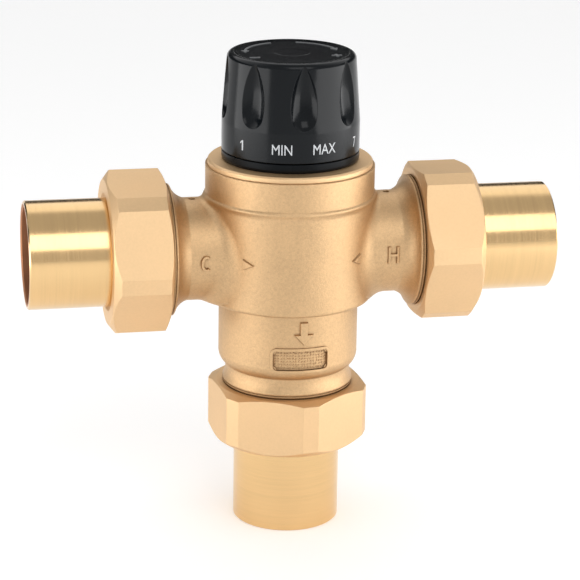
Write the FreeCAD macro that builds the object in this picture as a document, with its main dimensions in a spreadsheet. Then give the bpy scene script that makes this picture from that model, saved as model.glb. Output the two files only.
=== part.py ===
import FreeCAD, Part
import math
import os
import re
import Sketcher

# Thermostatic mixing valve with three union tails, modelled as bought and at rest.
# Millimetres.  Origin: centre of the mixed outlet tail's end face.  +Z runs up to the
# knob, +X to the hot inlet, -X to the cold inlet, -Y is the front of the valve.

doc = FreeCAD.newDocument("mixing_valve")
sheet = doc.addObject("Spreadsheet::Sheet", "sizes")

SIZES = {
    # overall stations
    "inlet_height": 85.5,
    "side_reach": 78.35,
    "side_union_face": 54.8,
    "base_union_face": 26.0,
    # union: tail, nut, gasket
    "pipe_socket_dia": 28.1,
    "pipe_socket_depth": 19.0,
    "tail_dia": 32.0,
    "tail_bore_dia": 26.0,
    "tail_edge": 0.4,
    "flange_dia": 37.4,
    "flange_thick": 3.0,
    "nut_flats": 43.8,
    "nut_corner_reach": 23.9,
    "nut_length": 17.4,
    "nut_lip": 4.0,
    "nut_end_dia": 42.8,
    "nut_outer_slope": 4.6,
    "nut_inner_slope": 2.5,
    "nut_mouth_dia": 34.8,
    "nut_gap": 0.15,
    "gasket_thick": 2.0,
    "gasket_bore_dia": 26.4,
    "gasket_dia": 37.2,
    "thread_dia": 37.9,
    "thread_gap": 0.06,
    "collar_dia": 39.0,
    "collar_width": 1.1,
    "collar_gap": 0.35,
    "collar_line": 0.3,
    # body, outside
    "neck_dia": 37.2,
    "lower_dia": 41.6,
    "lower_start": 53.6,
    "lower_top": 70.3,
    "barrel_dia": 49.6,
    "barrel_edge": 0.9,
    "ridge_height": 101.1,
    "ridge_proud": 0.3,
    "head_dia": 50.0,
    "head_top": 110.5,
    "arm_dia": 30.4,
    "arm_flare_start": 33.2,
    "plaque_width": 16.6,
    "plaque_tall": 6.0,
    "plaque_height": 55.95,
    "plaque_depth": 0.5,
    "dimple_dia": 2.0,
    "dimple_reach": 29.2,
    "dimple_depth": 1.2,
    # body, inside
    "outlet_bore_dia": 24.0,
    "spring_bore_dia": 26.0,
    "spring_shelf_height": 52.0,
    "seat_pocket_dia": 31.0,
    "seat_pocket_height": 69.5,
    "chamber_dia": 39.0,
    "web_bottom": 83.6,
    "web_top": 87.4,
    "seal_groove_dia": 32.5,
    "seal_groove_width": 2.3,
    "port_dia": 26.0,
    "port_floor": 26.5,
    "head_bore_dia": 41.8,
    "head_bore_floor": 100.0,
    # bonnet
    "bonnet_flange_dia": 48.6,
    "bonnet_flange_thick": 1.8,
    "bonnet_gap": 0.05,
    "bonnet_floor_gap": 0.2,
    "bonnet_seat_dia": 32.0,
    "bonnet_throat_dia": 23.6,
    "bonnet_throat_top": 101.0,
    "bonnet_neck_dia": 23.0,
    "bonnet_neck_top": 128.0,
    "gland_floor": 122.0,
    "bonnet_ring_groove": 2.0,
    "bonnet_ring_wire": 1.6,
    "key_width": 1.5,
    "key_proud": 0.5,
    "running_gap": 0.05,
    # base ring and knob
    "knob_dia": 40.56,
    "base_ring_thick": 2.7,
    "base_ring_round": 0.9,
    "knob_line": 0.4,
    "knob_taper_start": 124.0,
    "knob_top_dia": 37.8,
    "knob_top": 143.9,
    "knob_round": 1.6,
    "knob_rim": 0.5,
    "knob_face_sink": 0.3,
    "knob_hollow_dia": 31.0,
    "knob_roof": 141.0,
    "knob_hub_dia": 17.0,
    "knob_hub_start": 129.4,
    "knob_shelf": 139.0,
    "flute_dia": 10.4,
    "flute_length": 15.9,
    "flute_reach": 23.35,
    "flute_height": 128.9,
    "flute_lean": 16.2,
    "cap_dia": 10.2,
    "cap_thick": 2.0,
    "cap_gap": 0.05,
    "cap_sink": 0.35,
    # spindle and screw
    "spindle_dia": 10.0,
    "spindle_thread_dia": 8.4,
    "spindle_bottom": 111.5,
    "spindle_shoulder_dia": 15.0,
    "spindle_shoulder_thick": 2.0,
    "spindle_hex": 8.0,
    "spindle_top": 137.0,
    "spindle_ring_depth": 1.1,
    "spindle_ring_width": 1.6,
    "spindle_ring_low": 124.0,
    "spindle_ring_high": 126.4,
    "spindle_ring_wire": 1.06,
    "clip_thick": 0.9,
    "clip_dia": 13.4,
    "clip_depth": 0.7,
    "screw_dia": 3.4,
    "screw_depth": 8.0,
    "screw_head_dia": 7.0,
    "screw_head_tall": 2.2,
    # pusher and overtravel group
    "pusher_dia": 16.0,
    "pusher_bottom": 102.0,
    "pusher_top": 118.0,
    "pusher_cavity_dia": 13.8,
    "pusher_cavity_top": 112.5,
    "stop_clip_height": 102.6,
    "stop_clip_thick": 0.8,
    "stop_clip_dia": 14.6,
    "stop_clip_bore": 11.2,
    "cup_flange_dia": 13.2,
    "cup_flange_thick": 1.8,
    "cup_dia": 7.2,
    "cup_top": 110.0,
    "piston_dia": 4.4,
    "piston_top": 108.4,
    "piston_bottom": 91.0,
    "over_wire": 1.3,
    "over_mean_dia": 10.4,
    "over_turns": 3.0,
    # element, shuttle, springs, seat
    "element_dia": 14.0,
    "element_bottom": 60.0,
    "element_flange_dia": 18.0,
    "element_flange_thick": 2.5,
    "element_stem_dia": 9.2,
    "element_stem_top": 95.5,
    "shuttle_dia": 28.0,
    "shuttle_bore_dia": 25.0,
    "shuttle_top": 95.6,
    "hub_rise": 5.1,
    "hub_thick": 3.0,
    "hub_dia": 18.8,
    "spoke_width": 3.0,
    "seal_wire": 2.2,
    "seat_thick": 3.5,
    "seat_bore_dia": 23.2,
    "seat_gap": 1.9,
    "return_wire": 1.6,
    "return_mean_dia": 17.2,
    "return_turns": 6.0,
    "perch_thick": 1.0,
    "perch_rim_dia": 23.4,
    "perch_hub_dia": 19.6,
    "perch_hub_bore": 15.0,
}

# stations that follow from the sizes above them
STATIONS = {
    "seat_top": "=seat_pocket_height + seat_thick",
    "shuttle_bottom": "=seat_top + seat_gap",
    "hub_bottom": "=shuttle_bottom + hub_rise",
    "hub_top": "=hub_bottom + hub_thick",
    "bonnet_seat_height": "=shuttle_top + seat_gap",
}

for row, (name, content) in enumerate({**SIZES, **STATIONS}.items(), 1):
    sheet.set("A%d" % row, name)
    sheet.set("B%d" % row, content if name in STATIONS else repr(float(content)))
    sheet.setAlias("B%d" % row, name)
doc.recompute()


def value(expr):
    return float(sheet.evalExpression(str(expr)))


def bound(expr):
    def swap(m):
        return "sizes." + m.group(0) if m.group(0) in SIZES or m.group(0) in STATIONS else m.group(0)
    return re.sub(r"[A-Za-z_]\w*", swap, str(expr))


def tie(thing, prop, expr):
    thing.setExpression(prop, bound(expr))


def body(label):
    b = doc.addObject("PartDesign::Body", label)
    b.Label = label
    return b


def plane(b, role):
    for f in b.Origin.OriginFeatures:
        if f.Role == role:
            return f


def sketch_on(b, role, lift=None):
    sk = b.newObject("Sketcher::SketchObject", b.Name + "_sketch")
    sk.AttachmentSupport = (plane(b, role), [""])
    sk.MapMode = "FlatFace"
    if lift is not None:
        tie(sk, "AttachmentOffset.Base.z", lift)
    return sk


def profile(b, role, points, lift=None):
    """Closed outline: each point is (across, along[, arc radius to next, side])."""
    sk = sketch_on(b, role, lift)
    at = [FreeCAD.Vector(value(p[0]), value(p[1]), 0) for p in points]
    n = len(points)
    made = []
    for i, p in enumerate(points):
        a = at[i]
        c = at[(i + 1) % n]
        if len(p) > 2:
            chord = c - a
            half = chord.Length / 2
            r = value(p[2])
            sag = r - math.sqrt(max(r * r - half * half, 0))
            off = FreeCAD.Vector(chord.y, -chord.x, 0).normalize() * (sag * p[3])
            mid = (a + c) * 0.5 + off
            arc = Part.Arc(a, mid, c) if p[3] > 0 else Part.Arc(c, mid, a)
            made.append(sk.addGeometry(arc, False))
        else:
            made.append(sk.addGeometry(Part.LineSegment(a, c), False))
    ends = []
    for i in range(n):
        near = sk.Geometry[made[i]].StartPoint.distanceToPoint(at[i]) < 1e-6
        ends.append((1, 2) if near else (2, 1))
    for i in range(n):
        j = (i + 1) % n
        sk.addConstraint(Sketcher.Constraint("Coincident", made[i], ends[i][1], made[j], ends[j][0]))
    for i, p in enumerate(points):
        for kind, axis, e, v in (("DistanceX", -2, p[0], at[i].x), ("DistanceY", -1, p[1], at[i].y)):
            if str(e) == "0":
                sk.addConstraint(Sketcher.Constraint("PointOnObject", made[i], ends[i][0], axis))
            else:
                c = sk.addConstraint(Sketcher.Constraint(kind, -1, 1, made[i], ends[i][0], v))
                tie(sk, "Constraints[%d]" % c, e)
        if len(p) > 2:
            c = sk.addConstraint(Sketcher.Constraint("Radius", made[i], value(p[2])))
            tie(sk, "Constraints[%d]" % c, p[2])
    return sk


def turn(b, points, axis="V_Axis"):
    rev = b.newObject("PartDesign::Revolution", b.Name + "_turn")
    sk = profile(b, "XZ_Plane", points)
    rev.Profile = sk
    rev.ReferenceAxis = (sk, [axis])
    rev.Angle = 360
    sk.Visibility = False
    b.Tip = rev
    return rev


def groove(b, points):
    cut = b.newObject("PartDesign::Groove", b.Name + "_groove")
    sk = profile(b, "XZ_Plane", points)
    cut.Profile = sk
    cut.ReferenceAxis = (sk, ["V_Axis"])
    cut.Angle = 360
    b.Tip = cut
    return cut


def pad(b, points, lift, tall, cut=False):
    kind = "PartDesign::Pocket" if cut else "PartDesign::Pad"
    p = b.newObject(kind, b.Name + ("_pocket" if cut else "_pad"))
    p.Profile = profile(b, "XY_Plane", points, lift)
    tie(p, "Length", tall)
    if cut:
        p.Reversed = True
    b.Tip = p
    return p


def ring(label, inner, outer, low, tall):
    b = body(label)
    top = "%s + %s" % (low, tall)
    turn(b, [(inner, low), (outer, low), (outer, top), (inner, top)])
    return b


def many_sided(flats, corner=None, count=6):
    """Corner points of a polygon across flats, its corners cut flat where a reach is given."""
    out = []
    for k in range(count):
        a = math.radians(360.0 / count * k)
        c, s = math.cos(a), math.sin(a)
        if corner:
            w = "((%s) - (%s)/2*0.86602540)/0.5" % (corner, flats)
            for side in (-1, 1):
                out.append(("(%s)/2*(%.9f) - (%s)*(%.9f)" % (flats, c, w, side * s),
                            "(%s)/2*(%.9f) + (%s)*(%.9f)" % (flats, s, w, side * c)))
        else:
            t = math.tan(math.radians(180.0 / count))
            out.append(("(%s)/2*(%.9f)" % (flats, c + t * s), "(%s)/2*(%.9f)" % (flats, s - t * c)))
    return out


def primitive(kind, label, **sizes):
    p = doc.addObject(kind, label)
    p.Label = label
    for name, expr in sizes.items():
        tie(p, name, expr)
    return p


def place(thing, rotation=None, base=("0", "0", "0")):
    rot = rotation or FreeCAD.Rotation()
    thing.Placement = FreeCAD.Placement(FreeCAD.Vector(*[value(e) for e in base]), rot)
    for axis, e in zip("xyz", base):
        if str(e) != "0":
            tie(thing, "Placement.Base." + axis, e)
    return thing


def joined(label, shapes):
    f = doc.addObject("Part::MultiFuse", label)
    f.Label = label
    f.Shapes = shapes
    return f


def cut(label, base, tool):
    c = doc.addObject("Part::Cut", label)
    c.Label = label
    c.Base = base
    c.Tool = tool
    return c


V = FreeCAD.Vector
TO_PLUS_X = FreeCAD.Rotation(V(0, 1, 0), 90)
TO_MINUS_X = FreeCAD.Rotation(V(0, 1, 0), -90)
FLIP = FreeCAD.Rotation(V(1, 0, 0), 180)
parts = []

# ---------------------------------------------------------------- unions
# Local frame of each union: Z points out of the valve, zero on the nut's outer face.
UNIONS = {
    "cold": (TO_MINUS_X, ("-side_union_face", "0", "inlet_height"), "side_reach - side_union_face", 50.0),
    "hot": (TO_PLUS_X, ("side_union_face", "0", "inlet_height"), "side_reach - side_union_face", 57.0),
    "mixed": (FLIP, ("0", "0", "base_union_face"), "base_union_face", 53.3),
}


def union(side):
    turned, base, out, clock = UNIONS[side]
    tail = body("tail_" + side)
    root = "-(nut_lip + flange_thick)"
    turn(tail, [
        ("tail_bore_dia/2", root),
        ("flange_dia/2", root),
        ("flange_dia/2", "-nut_lip"),
        ("tail_dia/2", "-nut_lip"),
        ("tail_dia/2", "%s - tail_edge" % out),
        ("tail_dia/2 - tail_edge", out),
        ("pipe_socket_dia/2 + tail_edge", out),
        ("pipe_socket_dia/2", "%s - tail_edge" % out),
        ("pipe_socket_dia/2", "%s - pipe_socket_depth" % out),
        ("tail_bore_dia/2", "%s - pipe_socket_depth - (pipe_socket_dia - tail_bore_dia)/2" % out),
    ])
    place(tail, turned, base)

    nut = body("nut_" + side)
    pad(nut, many_sided("nut_flats", "nut_corner_reach"), "-nut_length", "nut_length")
    groove(nut, [
        ("nut_end_dia/2", "0"),
        ("nut_end_dia/2 + 6", "0"),
        ("nut_end_dia/2 + 6", "-nut_outer_slope"),
    ])
    groove(nut, [
        ("nut_end_dia/2", "-nut_length"),
        ("nut_end_dia/2 + 6", "-nut_length"),
        ("nut_end_dia/2 + 6", "nut_inner_slope - nut_length"),
    ])
    hole = "thread_dia/2 + thread_gap"
    lip = "tail_dia/2 + nut_gap"
    groove(nut, [
        ("0", "0"),
        ("nut_mouth_dia/2", "0"),
        (lip, "-(nut_mouth_dia/2 - (%s))" % lip),
        (lip, "-nut_lip"),
        (hole, "-nut_lip"),
        (hole, "0.5 - nut_length"),
        ("%s + 0.5" % hole, "-nut_length"),
        ("0", "-nut_length"),
    ])
    spin = FreeCAD.Rotation(V(0, 0, 1), clock)
    place(nut, turned.multiply(spin), base)

    seal = ring("gasket_" + side, "gasket_bore_dia/2", "gasket_dia/2",
                "-(nut_lip + flange_thick + gasket_thick)", "gasket_thick")
    place(seal, turned, base)
    parts.extend([tail, nut, seal])


for side in ("cold", "hot", "mixed"):
    union(side)

# ---------------------------------------------------------------- body, outside
SPIGOT = "nut_lip + flange_thick + gasket_thick"
base_spigot = "base_union_face + %s" % SPIGOT
base_collar = "base_union_face + nut_length + collar_gap"
drum = body("body_drum")
turn(drum, [
    ("0", base_spigot),
    ("thread_dia/2", base_spigot),
    ("thread_dia/2", base_collar),
    ("collar_dia/2", base_collar),
    ("collar_dia/2", "%s + (collar_width - collar_line)/2" % base_collar),
    ("collar_dia/2 - collar_line", "%s + (collar_width - collar_line)/2" % base_collar),
    ("collar_dia/2 - collar_line", "%s + (collar_width + collar_line)/2" % base_collar),
    ("collar_dia/2", "%s + (collar_width + collar_line)/2" % base_collar),
    ("collar_dia/2", "%s + collar_width" % base_collar, "9", -1),
    ("neck_dia/2", "lower_start - 4.3", "4.6", 1),
    ("lower_dia/2", "lower_start"),
    ("lower_dia/2", "lower_top"),
    ("barrel_dia/2 - barrel_edge", "lower_top", "barrel_edge", 1),
    ("barrel_dia/2", "lower_top + barrel_edge"),
    ("barrel_dia/2", "ridge_height - 1.6", "2.4", -1),
    ("head_dia/2 + ridge_proud", "ridge_height - 0.2", "0.9", 1),
    ("head_dia/2", "ridge_height + 1.0"),
    ("head_dia/2", "head_top"),
    ("0", "head_top"),
])

side_spigot = "side_union_face - (%s)" % SPIGOT
side_collar = "side_union_face - nut_length - collar_gap"
arms = body("body_arms")
turn(arms, [
    ("-(%s)" % side_spigot, "0"),
    ("-(%s)" % side_spigot, "thread_dia/2"),
    ("-(%s)" % side_collar, "thread_dia/2"),
    ("-(%s)" % side_collar, "collar_dia/2"),
    ("-(%s - (collar_width - collar_line)/2)" % side_collar, "collar_dia/2"),
    ("-(%s - (collar_width - collar_line)/2)" % side_collar, "collar_dia/2 - collar_line"),
    ("-(%s - (collar_width + collar_line)/2)" % side_collar, "collar_dia/2 - collar_line"),
    ("-(%s - (collar_width + collar_line)/2)" % side_collar, "collar_dia/2"),
    ("-(%s - collar_width)" % side_collar, "collar_dia/2"),
    ("-(%s - collar_width - 0.2)" % side_collar, "collar_dia/2 - 0.3", "6.5", 1),
    ("-(arm_flare_start - 1.6)", "arm_dia/2"),
    ("arm_flare_start - 1.6", "arm_dia/2", "6.5", 1),
    ("%s - collar_width - 0.2" % side_collar, "collar_dia/2 - 0.3"),
    ("%s - collar_width" % side_collar, "collar_dia/2"),
    ("%s - (collar_width + collar_line)/2" % side_collar, "collar_dia/2"),
    ("%s - (collar_width + collar_line)/2" % side_collar, "collar_dia/2 - collar_line"),
    ("%s - (collar_width - collar_line)/2" % side_collar, "collar_dia/2 - collar_line"),
    ("%s - (collar_width - collar_line)/2" % side_collar, "collar_dia/2"),
    (side_collar, "collar_dia/2"),
    (side_collar, "thread_dia/2"),
    (side_spigot, "thread_dia/2"),
    (side_spigot, "0"),
], "H_Axis")
place(arms, None, ("0", "0", "inlet_height"))
shell = joined("body_shell", [drum, arms])

# ---------------------------------------------------------------- body, inside
core = body("body_core")
turn(core, [
    ("0", base_spigot),
    ("outlet_bore_dia/2", base_spigot),
    ("outlet_bore_dia/2", "spring_shelf_height"),
    ("spring_bore_dia/2", "spring_shelf_height"),
    ("spring_bore_dia/2", "seat_pocket_height"),
    ("seat_pocket_dia/2", "seat_pocket_height"),
    ("seat_pocket_dia/2", "seat_top"),
    ("chamber_dia/2", "seat_top"),
    ("chamber_dia/2", "web_bottom"),
    ("shuttle_dia/2 + running_gap", "web_bottom"),
    ("shuttle_dia/2 + running_gap", "(web_bottom + web_top - seal_groove_width)/2"),
    ("seal_groove_dia/2", "(web_bottom + web_top - seal_groove_width)/2"),
    ("seal_groove_dia/2", "(web_bottom + web_top + seal_groove_width)/2"),
    ("shuttle_dia/2 + running_gap", "(web_bottom + web_top + seal_groove_width)/2"),
    ("shuttle_dia/2 + running_gap", "web_top"),
    ("chamber_dia/2", "web_top"),
    ("chamber_dia/2", "head_bore_floor"),
    ("head_bore_dia/2", "head_bore_floor"),
    ("head_bore_dia/2", "head_top"),
    ("0", "head_top"),
])
hollows = [core]
for side, turned, sign, low, high in (
        ("hot", TO_PLUS_X, "", "seat_top + 1.5", "web_bottom - 0.6"),
        ("cold", TO_MINUS_X, "-", "web_top + 0.6", "head_bore_floor - 3")):
    port = primitive("Part::Cylinder", "port_" + side, Radius="port_dia/2",
                     Height="%s - port_floor" % side_spigot)
    place(port, turned, (sign + "port_floor", "0", "inlet_height"))
    throat = primitive("Part::Cylinder", "throat_" + side, Radius="port_dia/2", Height="port_floor - 12")
    place(throat, turned, (sign + "12", "0", "inlet_height"))
    band = primitive("Part::Box", "band_" + side, Length="port_floor", Width="port_dia",
                     Height="(%s) - (%s)" % (high, low))
    place(band, None, ("0" if side == "hot" else "-port_floor", "-port_dia/2", low))
    window = doc.addObject("Part::Common", "window_" + side)
    window.Base = throat
    window.Tool = band
    dimple = primitive("Part::Cylinder", "dimple_" + side, Radius="dimple_dia/2", Height="6")
    place(dimple, None, (sign + "dimple_reach", "0", "inlet_height + arm_dia/2 - dimple_depth"))
    hollows += [port, window, dimple]

slab = body("plaque_slab")
half, end = "plaque_width/2", "plaque_tall/2"
turned_front = FreeCAD.Rotation(V(1, 0, 0), 90)
pad(slab, [
    ("-(%s)" % half, "-(%s) + 1.2" % end, "1.2", -1),
    ("-(%s) + 1.2" % half, "-(%s)" % end),
    ("%s - 1.2" % half, "-(%s)" % end, "1.2", -1),
    (half, "-(%s) + 1.2" % end),
    (half, "%s - 1.2" % end, "1.2", -1),
    ("%s - 1.2" % half, end),
    ("-(%s) + 1.2" % half, end, "1.2", -1),
    ("-(%s)" % half, "%s - 1.2" % end),
], None, "30")
place(slab, turned_front, ("0", "0", "plaque_height"))
inner_drum = primitive("Part::Cylinder", "plaque_floor", Radius="lower_dia/2 - plaque_depth", Height="20")
place(inner_drum, None, ("0", "0", "plaque_height - 10"))
plaque = cut("plaque", slab, inner_drum)
hollows.append(plaque)

valve_body = cut("body", shell, joined("body_hollows", hollows))
place(valve_body)
parts.append(valve_body)

# ---------------------------------------------------------------- bonnet
flange_low = "head_top"
bonnet_turned = body("bonnet_turned")
screw_dia = "head_bore_dia/2 - bonnet_gap"
turn(bonnet_turned, [
    ("bonnet_throat_dia/2", "bonnet_seat_height"),
    ("bonnet_seat_dia/2", "bonnet_seat_height"),
    ("bonnet_seat_dia/2", "head_bore_floor + bonnet_floor_gap"),
    (screw_dia, "head_bore_floor + bonnet_floor_gap"),
    (screw_dia, "head_top - bonnet_ring_groove"),
    ("%s - bonnet_ring_wire" % screw_dia, "head_top - bonnet_ring_groove"),
    ("%s - bonnet_ring_wire" % screw_dia, "head_top"),
    ("bonnet_flange_dia/2", "head_top"),
    ("bonnet_flange_dia/2", "head_top + bonnet_flange_thick - 0.5"),
    ("bonnet_flange_dia/2 - 0.5", "head_top + bonnet_flange_thick"),
    ("bonnet_neck_dia/2", "head_top + bonnet_flange_thick"),
    ("bonnet_neck_dia/2", "bonnet_neck_top - 0.6"),
    ("bonnet_neck_dia/2 - 0.6", "bonnet_neck_top"),
    ("spindle_dia/2 + running_gap", "bonnet_neck_top"),
    ("spindle_dia/2 + running_gap", "gland_floor"),
    ("pusher_dia/2 + running_gap", "gland_floor"),
    ("pusher_dia/2 + running_gap", "bonnet_throat_top"),
    ("bonnet_throat_dia/2", "bonnet_throat_top"),
])
key = primitive("Part::Box", "bonnet_key", Length="key_proud + 1", Width="key_width",
                Height="pusher_top - bonnet_throat_top")
place(key, None, ("pusher_dia/2 - key_proud", "-key_width/2", "bonnet_throat_top"))
bonnet = joined("bonnet", [bonnet_turned, key])
place(bonnet)
parts.append(bonnet)


def hoop(label, mean, wire, height):
    t = primitive("Part::Torus", label, Radius1=mean, Radius2="(%s)/2" % wire)
    place(t, None, ("0", "0", height))
    parts.append(t)
    return t


hoop("bonnet_oring", "head_bore_dia/2 - bonnet_gap - bonnet_ring_wire/2", "bonnet_ring_wire - 0.02",
     "head_top - bonnet_ring_groove/2")
hoop("shuttle_seal", "shuttle_dia/2 + running_gap + seal_wire/2", "seal_wire - 0.02",
     "(web_bottom + web_top)/2")

# ---------------------------------------------------------------- base ring and knob
ring_low = "head_top + bonnet_flange_thick"
ring_top = "%s + base_ring_thick" % ring_low
base_ring = body("base_ring")
turn(base_ring, [
    ("bonnet_neck_dia/2", ring_low),
    ("knob_dia/2 - base_ring_round", ring_low, "base_ring_round", 1),
    ("knob_dia/2", "%s + base_ring_round" % ring_low),
    ("knob_dia/2", ring_top),
    ("bonnet_neck_dia/2", ring_top),
])
place(base_ring)
parts.append(base_ring)

knob_low = "%s + knob_line" % ring_top
knob_turned = body("knob_turned")
turn(knob_turned, [
    ("knob_hollow_dia/2", knob_low),
    ("knob_dia/2", knob_low),
    ("knob_dia/2", "knob_taper_start"),
    ("knob_top_dia/2", "knob_top - knob_round", "knob_round * 1.02", 1),
    ("knob_top_dia/2 - knob_round", "knob_top"),
    ("knob_top_dia/2 - knob_round - knob_rim", "knob_top"),
    ("knob_top_dia/2 - knob_round - knob_rim", "knob_top - knob_face_sink"),
    ("cap_dia/2 + cap_gap", "knob_top - knob_face_sink"),
    ("cap_dia/2 + cap_gap", "knob_shelf"),
    ("screw_dia/2 + 0.3", "knob_shelf"),
    ("screw_dia/2 + 0.3", "knob_hub_start"),
    ("knob_hub_dia/2", "knob_hub_start"),
    ("knob_hub_dia/2", "knob_roof"),
    ("knob_hollow_dia/2", "knob_roof"),
])
pad(knob_turned, many_sided("spindle_hex + running_gap"), "knob_hub_start",
    "spindle_top + running_gap - knob_hub_start", cut=True)
flutes = []
slope = FreeCAD.Rotation(V(1, 0, 0), -value("flute_lean"))
for k in range(8):
    around = FreeCAD.Rotation(V(0, 0, 1), 45 * k)
    form = body("flute_%d" % k)
    turn(form, [
        ("0", "-flute_dia/2", "flute_dia/2", 1),
        ("flute_dia/2", "0", "(flute_length^2 + (flute_dia/2)^2)/flute_dia", 1),
        ("0", "flute_length"),
    ])
    seat = around.multVec(V(0, -value("flute_reach"), value("flute_height")))
    form.Placement = FreeCAD.Placement(seat, around.multiply(slope))
    flutes.append(form)
knob = cut("knob", knob_turned, joined("knob_flutes", flutes))
place(knob)
parts.append(knob)

cap = body("knob_cap")
turn(cap, [
    ("0", "knob_top - cap_thick"),
    ("cap_dia/2", "knob_top - cap_thick"),
    ("cap_dia/2", "knob_top - cap_sink - 0.3"),
    ("cap_dia/2 - 0.3", "knob_top - cap_sink"),
    ("0", "knob_top - cap_sink"),
])
place(cap)
parts.append(cap)

# ---------------------------------------------------------------- spindle group
spindle = body("spindle")
shoulder_top = "gland_floor - running_gap"
groove_floor = "spindle_dia/2 - spindle_ring_depth"
clip_low = "bonnet_neck_top + running_gap"
rows = [
    ("0", "spindle_bottom"),
    ("spindle_thread_dia/2", "spindle_bottom"),
    ("spindle_thread_dia/2", "%s - spindle_shoulder_thick" % shoulder_top),
    ("spindle_shoulder_dia/2", "%s - spindle_shoulder_thick" % shoulder_top),
    ("spindle_shoulder_dia/2", shoulder_top),
    ("spindle_dia/2", shoulder_top),
]
for low in ("spindle_ring_low", "spindle_ring_high"):
    rows += [
        ("spindle_dia/2", "%s - spindle_ring_width/2" % low),
        (groove_floor, "%s - spindle_ring_width/2" % low),
        (groove_floor, "%s + spindle_ring_width/2" % low),
        ("spindle_dia/2", "%s + spindle_ring_width/2" % low),
    ]
rows += [
    ("spindle_dia/2", clip_low),
    ("spindle_dia/2 - clip_depth", clip_low),
    ("spindle_dia/2 - clip_depth", "%s + clip_thick" % clip_low),
    ("0", "%s + clip_thick" % clip_low),
]
turn(spindle, rows)
pad(spindle, many_sided("spindle_hex"), "%s + clip_thick" % clip_low, "spindle_top - (%s) - clip_thick" % clip_low)
drill = spindle.newObject("PartDesign::Groove", "spindle_drill")
drill.Profile = profile(spindle, "XZ_Plane", [
    ("0", "spindle_top - screw_depth - 1"),
    ("screw_dia/2", "spindle_top - screw_depth"),
    ("screw_dia/2", "spindle_top"),
    ("0", "spindle_top"),
])
drill.ReferenceAxis = (drill.Profile[0], ["V_Axis"])
drill.Angle = 360
spindle.Tip = drill
place(spindle)
parts.append(spindle)
for name, at in (("lower", "spindle_ring_low"), ("upper", "spindle_ring_high")):
    hoop("spindle_oring_" + name, "%s + spindle_ring_wire/2" % groove_floor, "spindle_ring_wire - 0.02", at)
clip = ring("spindle_circlip", "spindle_dia/2 - clip_depth", "clip_dia/2", clip_low, "clip_thick")
place(clip)
parts.append(clip)

screw = body("knob_screw")
turn(screw, [
    ("0", "spindle_top - screw_depth"),
    ("screw_dia/2", "spindle_top - screw_depth"),
    ("screw_dia/2", "knob_shelf"),
    ("screw_head_dia/2", "knob_shelf"),
    ("screw_head_dia/2", "knob_shelf + screw_head_tall"),
    ("0", "knob_shelf + screw_head_tall"),
])
place(screw)
parts.append(screw)

# ---------------------------------------------------------------- pusher group
pusher_turned = body("pusher_turned")
clip_floor = "stop_clip_height"
clip_roof = "stop_clip_height + stop_clip_thick"
turn(pusher_turned, [
    ("pusher_cavity_dia/2", "pusher_bottom"),
    ("pusher_dia/2", "pusher_bottom"),
    ("pusher_dia/2", "pusher_top"),
    ("spindle_thread_dia/2 + running_gap", "pusher_top"),
    ("spindle_thread_dia/2 + running_gap", "pusher_cavity_top"),
    ("pusher_cavity_dia/2", "pusher_cavity_top"),
    ("pusher_cavity_dia/2", clip_roof),
    ("stop_clip_dia/2", clip_roof),
    ("stop_clip_dia/2", clip_floor),
    ("pusher_cavity_dia/2", clip_floor),
])
slot = primitive("Part::Box", "pusher_slot", Length="key_proud + 1", Width="key_width + 2*running_gap",
                 Height="pusher_top - pusher_bottom + 4")
place(slot, None, ("pusher_dia/2 - key_proud - running_gap", "-key_width/2 - running_gap", "pusher_bottom - 2"))
pusher = cut("pusher", pusher_turned, slot)
place(pusher)
parts.append(pusher)
stop_clip = ring("overtravel_clip", "stop_clip_bore/2", "stop_clip_dia/2", clip_floor, "stop_clip_thick")
place(stop_clip)
parts.append(stop_clip)
cup = body("overtravel_cup")
turn(cup, [
    ("piston_dia/2", clip_roof),
    ("cup_flange_dia/2", clip_roof),
    ("cup_flange_dia/2", "%s + cup_flange_thick" % clip_roof),
    ("cup_dia/2", "%s + cup_flange_thick" % clip_roof),
    ("cup_dia/2", "cup_top"),
    ("0", "cup_top"),
    ("0", "piston_top"),
    ("piston_dia/2", "piston_top"),
])
place(cup)
parts.append(cup)
piston = body("element_piston")
turn(piston, [
    ("0", "piston_bottom"),
    ("piston_dia/2", "piston_bottom"),
    ("piston_dia/2", "piston_top"),
    ("0", "piston_top"),
])
place(piston)
parts.append(piston)

# ---------------------------------------------------------------- element and shuttle
element = body("wax_element")
turn(element, [
    ("0", "element_bottom"),
    ("element_dia/2 - 1", "element_bottom"),
    ("element_dia/2", "element_bottom + 1"),
    ("element_dia/2", "hub_top"),
    ("element_flange_dia/2", "hub_top"),
    ("element_flange_dia/2", "hub_top + element_flange_thick"),
    ("element_stem_dia/2", "hub_top + element_flange_thick"),
    ("element_stem_dia/2", "element_stem_top"),
    ("piston_dia/2 + running_gap", "element_stem_top"),
    ("piston_dia/2 + running_gap", "piston_bottom - 2"),
    ("0", "piston_bottom - 2"),
])
place(element)
parts.append(element)

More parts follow.
